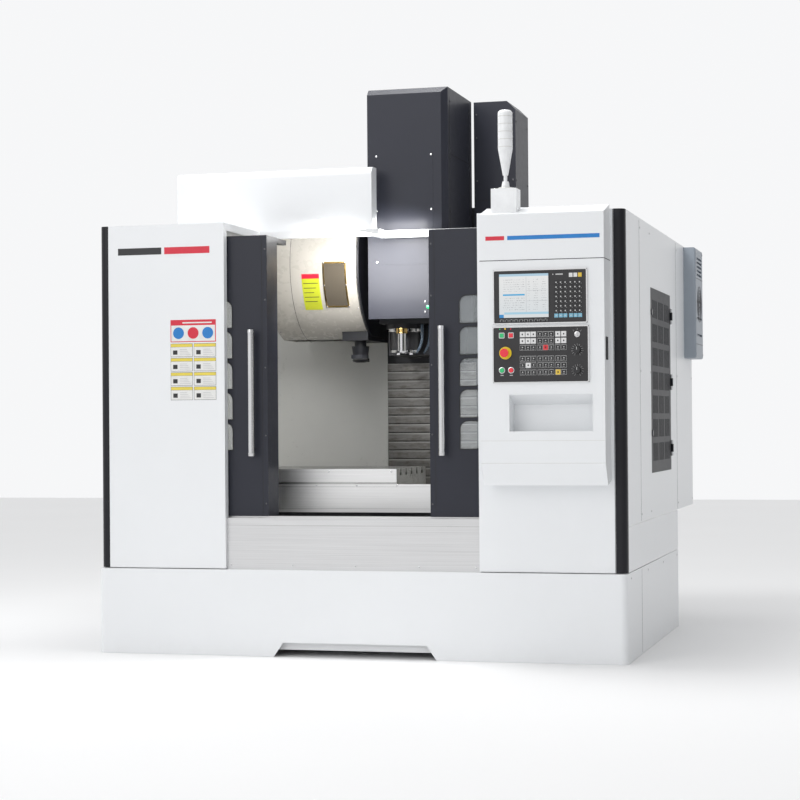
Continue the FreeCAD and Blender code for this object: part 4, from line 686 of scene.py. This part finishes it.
def makeCards():
    c = cards
    y = c["face"]
    middle = (c["left"] + c["right"]) / 2
    top = c["top"]
    boards = {"cardWhite": [], "cardYellow": [], "stripeRed": [], "stripeBlue": [], "markPale": [],
              "stripeBlack": []}
    low = top - c["tall"]
    boards["stripeRed"].append((c["left"], c["right"], y - 0.5, y + 0.2, low, top))
    boards["cardWhite"].append((c["left"] + 4, c["right"] - 4, y - 0.9, y - 0.3, low + 4, top - 26))
    boards["cardWhite"].append((c["left"] + 60, c["right"] - 20, y - 0.9, y - 0.3, top - 17, top - 11))
    for row in range(4):
        z1 = low - c["gap"] - row * (c["small"] + 5)
        z0 = z1 - c["small"]
        for x0, x1 in ((c["left"], middle - 3), (middle + 3, c["right"])):
            boards["stripeBlack"].append((x0, x1, y - 0.4, y + 0.2, z0, z1))
            boards["cardWhite"].append((x0 + 1.5, x1 - 1.5, y - 0.8, y - 0.3, z0 + 1.5, z1 - 16))
            boards["cardYellow"].append((x0 + 1.5, x1 - 1.5, y - 0.8, y - 0.3, z1 - 15, z1 - 1.5))
            boards["stripeBlack"].append((x0 + 12, x0 + 34, y - 1.1, y - 0.7, z0 + 11, z0 + 31))
            for n in range(4):
                boards["markPale"].append((x0 + 46, x1 - 10 - n * 6, y - 1.1, y - 0.7, z0 + 9 + n * 8,
                                           z0 + 11.5 + n * 8))
    for number, (shade, boxes) in enumerate(sorted(boards.items())):
        if boxes:
            slabs(f"placards{number + 1}", "frame", shade, boxes, 0.15)
    for number, (shade, x) in enumerate((("stripeBlue", c["left"] + 40), ("stripeRed", middle),
                                         ("stripeBlue", c["right"] - 40))):
        bm = bmesh.new()
        turn(bm, (x, y - 0.7, low + 42), (0, -1, 0),
             [(0, 27), (0.7, 27), (0.7, 18), (0.3, 18), (0.3, 12), (0.8, 12), (0.8, 0)], 40)
        finishPiece(f"placardDot{number + 1}", bm, "frame", shade)
    slabs("titleBar", "frame", "stripeBlack", [(-1148, -930, y - 0.6, y + 0.2, 1866, 1898)], 0.2)
    slabs("titleBlock", "frame", "stripeRed", [(-915, -690, y - 0.6, y + 0.2, 1866, 1898)], 0.2)
    print("placards placed")


# ---- head, spindle nose and tool changer

drum = dict(y=1137, z=1863, radius=379, left=-672, right=-200)
cover = dict(left=-122, right=279, front=700, low=1578, top=2705)


def makeHead():
    c = cover
    y = c["front"]
    hatch = [(-84, 209, y - 1.2, y + 0.5, 1842, 2385), (-84, 250, y - 1.0, y + 0.5, 1588, 1836)]
    slabs("coverHatches", "head", "darkEnamel", hatch, 0.8)
    heads = [((x, y - 1, z), (0, -1, 0))
             for x, z in ((-76, 2374), (200, 2374), (200, 2107), (-76, 2107), (-76, 1856), (200, 1856))]
    heads += [((x, y - 0.9, z), (0, -1, 0)) for x, z in ((165, 1656), (165, 1607))]
    screws("coverScrews", "head", "polishedSteel", heads, 5)
    bm = bmesh.new()
    turn(bm, (180, y - 1, 1631), (0, -1, 0), [(0, 9), (2, 9), (3.2, 6), (3.6, 0)], 24)
    finishPiece("coverLamp", bm, "head", "buttonGreen")
    side = c["right"]
    seams = [(side - 0.3, side + 0.8, 760, 1180, z, z + 2) for z in (1838, 2380)]
    seams += [(side - 0.3, side + 0.8, y0, y0 + 2, 1600, 2660) for y0 in (760, 1178)]
    slabs("coverSeams", "head", "rubber", seams, 0.2)
    heads = [((side, y0, z), (1, 0, 0)) for y0 in (772, 1166)
             for z in (1620, 1820, 1860, 2100, 2360, 2400, 2640)]
    screws("coverSideScrews", "head", "darkSteelAndDarkReflection", heads, 4.5)
    # a small brass cap at the nose top: a painted highlight standing in for the lit strip of the brass ring
    # round the nose
    bm = bmesh.new()
    turn(bm, (14, 820, 1510), (0, 0, 1), [(0, 22.1), (0, 29.6), (3, 30), (5, 29.2), (8, 29.8), (12, 29.2),
                                          (16, 29.8), (20, 29.2), (24, 29.8), (26.2, 29), (26.4, 22)], 48)
    finishPiece("brassRingHighlight", bm, "head", "brass")
    # the chrome sleeve round the spindle nose is given dark steel: a painted dark reflection of its dark
    # surroundings
    bm = bmesh.new()
    turn(bm, (0, 930, 1430), (0, 0, 1), [(0, 75), (0, 75.8), (88, 75.8), (90, 75)], 64)
    finishPiece("noseSleeveDarkReflection", bm, "head", "darkSteelAndDarkReflection")
    bm = bmesh.new()
    for n in range(12):
        a = math.radians(n * 30 + 15)
        turn(bm, (66 * math.cos(a), 930 + 66 * math.sin(a), 1418), (0, 0, -1),
             [(-1, 4.4), (0, 4.6), (1.6, 4.2), (1.6, 2.4), (0.4, 2.2), (0.4, 0)], 12)
    for n in (0, 1, 3, 4, 5):
        a = math.radians(n * 60 + 200)
        turn(bm, (50 * math.cos(a), 930 + 50 * math.sin(a), 1418),
             (0.12 * -math.cos(a), 0.12 * -math.sin(a), -1), [(-1, 3.4), (3, 3.2), (6, 2.0), (6, 1.2),
                                                              (2, 1.1), (2, 0)], 12)
    finishPiece("noseScrews", bm, "head", "darkSteelAndDarkReflection")
    makeNozzles()
    print("head dressed")


nozzles = dict(roots=((102, 880, 1556), (128, 930, 1556)), beads=9, radius=9, step=14)


def makeNozzles():
    # jointed coolant nozzles hanging beside the spindle nose
    n = nozzles
    bm = bmesh.new()
    for number, root in enumerate(n["roots"]):
        place, way = Vector(root), Vector((0.0, 0.0, -1.0))
        for bead in range(n["beads"]):
            r = n["radius"] * (1 - 0.02 * bead)
            turn(bm, place, way, [(-2, r * 0.6), (0, r * 0.92), (4, r), (9, r * 0.98), (11, r * 0.72),
                                  (14, r * 0.6)], 20)
            place = place + way * n["step"]
            lean = Vector((-0.13, 0.05 - 0.03 * number, 0.0)) if bead > 3 else Vector((0.0, -0.02, 0.0))
            way = (way + lean).normalized()
        turn(bm, place, way, [(-3, 7), (0, 7.4), (10, 4.6), (24, 3.2), (24, 2.0), (18, 1.9), (18, 0)], 20)
    finishPiece("coolantNozzles", bm, "head", "nozzleGrey")


def makeMagazine():
    d = drum
    r = d["radius"]
    bm = bmesh.new()
    for x0, x1, a0, a1 in ((-376, -368, -34.5, 1.1), (-262, -254, -34.5, 1.1), (-376, -254, -34.5, -33.2),
                           (-376, -254, -0.2, 1.1)):
        drumPatch(bm, x0, x1, a0, a1, r - 1, r + 3.2, d)
    finishPiece("sightFrame", bm, "frame", "brass")
    bm = bmesh.new()
    drumPatch(bm, -369, -261, -33.6, 0.2, r - 1, r + 1.4, d, 24)
    finishPiece("sightPane", bm, "frame", "smokedPane")
    bm = bmesh.new()
    for x in (-372, -258):
        for angle in (0.4, -16.5, -33.8):
            a = math.radians(angle)
            way = (0, -math.cos(a), math.sin(a))
            spot = (x, d["y"] - (r + 3.2) * math.cos(a), d["z"] + (r + 3.2) * math.sin(a))
            turn(bm, spot, way, [(-1, 4.6), (0.6, 5), (2, 4.4), (2.6, 2.2), (2.7, 0)], 16)
    finishPiece("sightScrews", bm, "frame", "polishedSteel")
    bm = bmesh.new()
    drumPatch(bm, -487, -396, -36.4, -11.2, r - 1, r + 0.8, d)
    finishPiece("limePlate", bm, "frame", "plateLime")
    bm = bmesh.new()
    drumPatch(bm, -487, -396, -11.2, -7.6, r - 1, r + 0.8, d, 4)
    finishPiece("limePlateHead", bm, "frame", "stripeRed")
    bm = bmesh.new()
    for n in range(5):
        a = -14.5 - n * 3.6
        drumPatch(bm, -480, -404 - (n % 3) * 12, a - 0.5, a, r, r + 1.0, d, 2)
    finishPiece("limePlateRules", bm, "frame", "darkEnamel")
    bm = bmesh.new()
    drumPatch(bm, -546, -544, -85, 60, r - 1, r + 0.5, d, 40)
    drumPatch(bm, -204, -200.5, -69, 60, r - 1, r + 0.9, d, 40)
    finishPiece("drumSeams", bm, "frame", "castingEnamel")
    heads = []
    for angle in (-60, -36, -12, 12, 36):
        a = math.radians(angle)
        for x in (-660, -212):
            heads.append(((x, d["y"] - r * math.cos(a), d["z"] + r * math.sin(a)),
                          (0, -math.cos(a), math.sin(a))))
    screws("drumScrews", "frame", "polishedSteel", heads, 4)
    print("tool magazine dressed")


# ---- table and saddle guard

def makeTable():
    slabs("tableStrip", "table_slide", "brightSheet", [(-905, 95, 402, 405.5, 788, 851)], 0.8)
    heads = [((x, 402, z), (0, -1, 0)) for x in (-880, -560, -240, 70) for z in (838,)]
    screws("tableScrews", "table_slide", "polishedSteel", heads, 4)
    # darker strips along the guard's bends: painted shade where the sheet folds
    bendShadows = [(-729, 729, 397.4, 398.2, z, z + 1.4) for z in (662, 766)]
    slabs("guardBendShadows", "saddle_slide", "groundSteel", bendShadows, 0.2)
    heads = [((x, 398, 772), (0, -1, 0)) for x in range(-700, 701, 200)]
    screws("guardScrews", "saddle_slide", "polishedSteel", heads, 4)
    print("table dressed")


# ---- outer sheet metal

shell = dict(left=-1250, right=1250, back=2391)


def makeSheetMetal():
    heads = [((x, 30, z), (0, -1, 0)) for x in (-600, -300, 0, 300, 565) for z in (416,)]
    screws("sillScrews", "frame", "polishedSteel", heads, 3.6)
    # a darker strip along the sill's bend: painted shade where the sheet folds
    slabs("sillBendShadow", "frame", "groundSteel", [(-619, 584, 29.4, 30.2, 600, 601.4)], 0.2)
    right = shell["right"]
    seams = [(right - 0.4, right + 0.5, 440, 442, 610, 1995), (right - 0.4, right + 0.5, 440, 442, 8, 390),
             (right - 0.4, right + 0.5, 1731, 1733, 610, 1995)]
    slabs("rightSeams", "frame", "rubber", seams, 0.2)
    left = shell["left"]
    seams = [(left + 7.6, left + 8.4, y, y + 2, 410, 1995) for y in (520, 1130)]
    slabs("leftSeams", "frame", "rubber", seams, 0.2)
    heads = [((right, y, z), (1, 0, 0)) for y in (462, 770) for z in (640, 1300, 1960)]
    heads += [((right, y, z), (1, 0, 0)) for y in (1760, 2360) for z in (640, 1300, 1960)]
    heads += [((right, y, 372), (1, 0, 0)) for y in (120, 640, 1160, 1680)]
    heads += [((left + 8, y, z), (-1, 0, 0)) for y in (500, 542, 1110, 1152, 1700) for z in (440, 1200, 1960)]
    heads += [((left, y, 372), (-1, 0, 0)) for y in (120, 640, 1160, 1680)]
    screws("panelScrews", "frame", "markPale", heads, 5, 2)
    back = shell["back"]
    doorLines = [(572, 574, back - 0.4, back + 0.8, 625, 1990),
                 (1232, 1234, back - 0.4, back + 0.8, 625, 1990),
                 (572, 1234, back - 0.4, back + 0.8, 625, 627),
                 (572, 1234, back - 0.4, back + 0.8, 1988, 1990)]
    slabs("cabinetDoorLines", "frame", "rubber", doorLines, 0.2)
    slabs("cabinetLatch", "frame", "darkSteelAndDarkReflection",
          [(600, 628, back - 0.5, back + 9, 1240, 1390), (606, 622, back + 8, back + 9.5, 1260, 1340)], 3)
    rows = [(760, 1050, back - 0.3, back + 3.5, z, z + 7) for z in range(700, 900, 18)]
    slabs("cabinetLouvres", "frame", "whiteEnamel", rows, 1.6)
    slabs("trimEdges", "frame", "trimEnamel", [(-1199.5, -1197.5, 9.2, 12, 402, 2004),
                                               (1197, 1199, 9.2, 12, 402, 2004)], 0.4)
    print("sheet metal dressed")


cooler = dict(face=1315, front=2065, back=2385, low=1405, high=2000)


def makeCooler():
    c = cooler
    bm = bmesh.new()
    middle = (c["front"] + c["back"]) / 2
    for radius in (24, 42, 60, 78, 96):
        turn(bm, (c["face"], middle, 1700), (1, 0, 0),
             [(-1, radius - 1.6), (1.6, radius - 1.2), (1.6, radius + 1.2), (-1, radius + 1.6)], 48)
    for n in range(6):
        a = math.radians(n * 30)
        y, z = math.cos(a), math.sin(a)
        for way in (-1, 1):
            for reach in range(16, 96, 8):
                turn(bm, (c["face"], middle + way * reach * y, 1700 + way * reach * z), (1, 0, 0),
                     [(-1, 2.2), (1.2, 2.0), (1.2, 0)], 8)
    finishPiece("coolerGrille", bm, "frame", "darkSteelAndDarkReflection")
    heads = [((c["face"], y, z), (1, 0, 0)) for y in (c["front"] + 20, c["back"] - 20)
             for z in (c["low"] + 22, c["high"] - 22)]
    screws("coolerScrews", "frame", "polishedSteel", heads, 5)
    lines = [(c["face"] - 0.4, c["face"] + 0.6, c["front"] + 14, c["back"] - 14, z, z + 2)
             for z in (1480, 1835)]
    slabs("coolerSeams", "frame", "rubber", lines, 0.2)
    print("cooling unit dressed")


duct = dict(left=290, right=507, front=1240, low=1700, top=2704)


def makeDuct():
    d = duct
    heads = [((x, d["front"], z), (0, -1, 0)) for x in (d["left"] + 14, d["right"] - 14)
             for z in (2080, 2300, 2520, 2640)]
    heads += [((d["right"], y, z), (1, 0, 0)) for y in (1260, 1540) for z in (1760, 2100, 2300, 2600)]
    screws("ductScrews", "frame", "darkSteelAndDarkReflection", heads, 4.5)
    slabs("ductSeam", "frame", "rubber", [(d["left"] + 2, d["right"] - 2, d["front"] - 0.6,
                                           d["front"] + 0.3, 2200, 2202)], 0.2)
    print("cable duct dressed")


def makeStage():
    bm = bmesh.new()
    for x, y in ((-16000, -14000), (16000, -14000), (16000, 18000), (-16000, 18000)):
        bm.verts.new(at(x, y, -0.5))
    bm.faces.new(bm.verts)
    mesh = bpy.data.meshes.new("floor")
    bm.to_mesh(mesh)
    floor = bpy.data.objects.new("floor", mesh)
    f = Finish("paleFloor", Specular_IOR_Level=0.2)
    f.set("Base Color", f.mix(f.noise(0.5, 3), (0.90, 0.90, 0.90), (0.93, 0.93, 0.93)))
    f.set("Roughness", 0.75 + (f.noise(3, 3) - 0.5) * 0.1)
    mesh.materials.append(f.material)
    bpy.context.collection.objects.link(floor)


makeCamera()
makeLights()
makeFinishes()
displayFinish()
dressNodes()
makeDoors()
makeConsole()
makeTower()
makeCards()
makeHead()
makeMagazine()
makeTable()
makeSheetMetal()
makeCooler()
makeDuct()
makeStage()
print("scene complete")
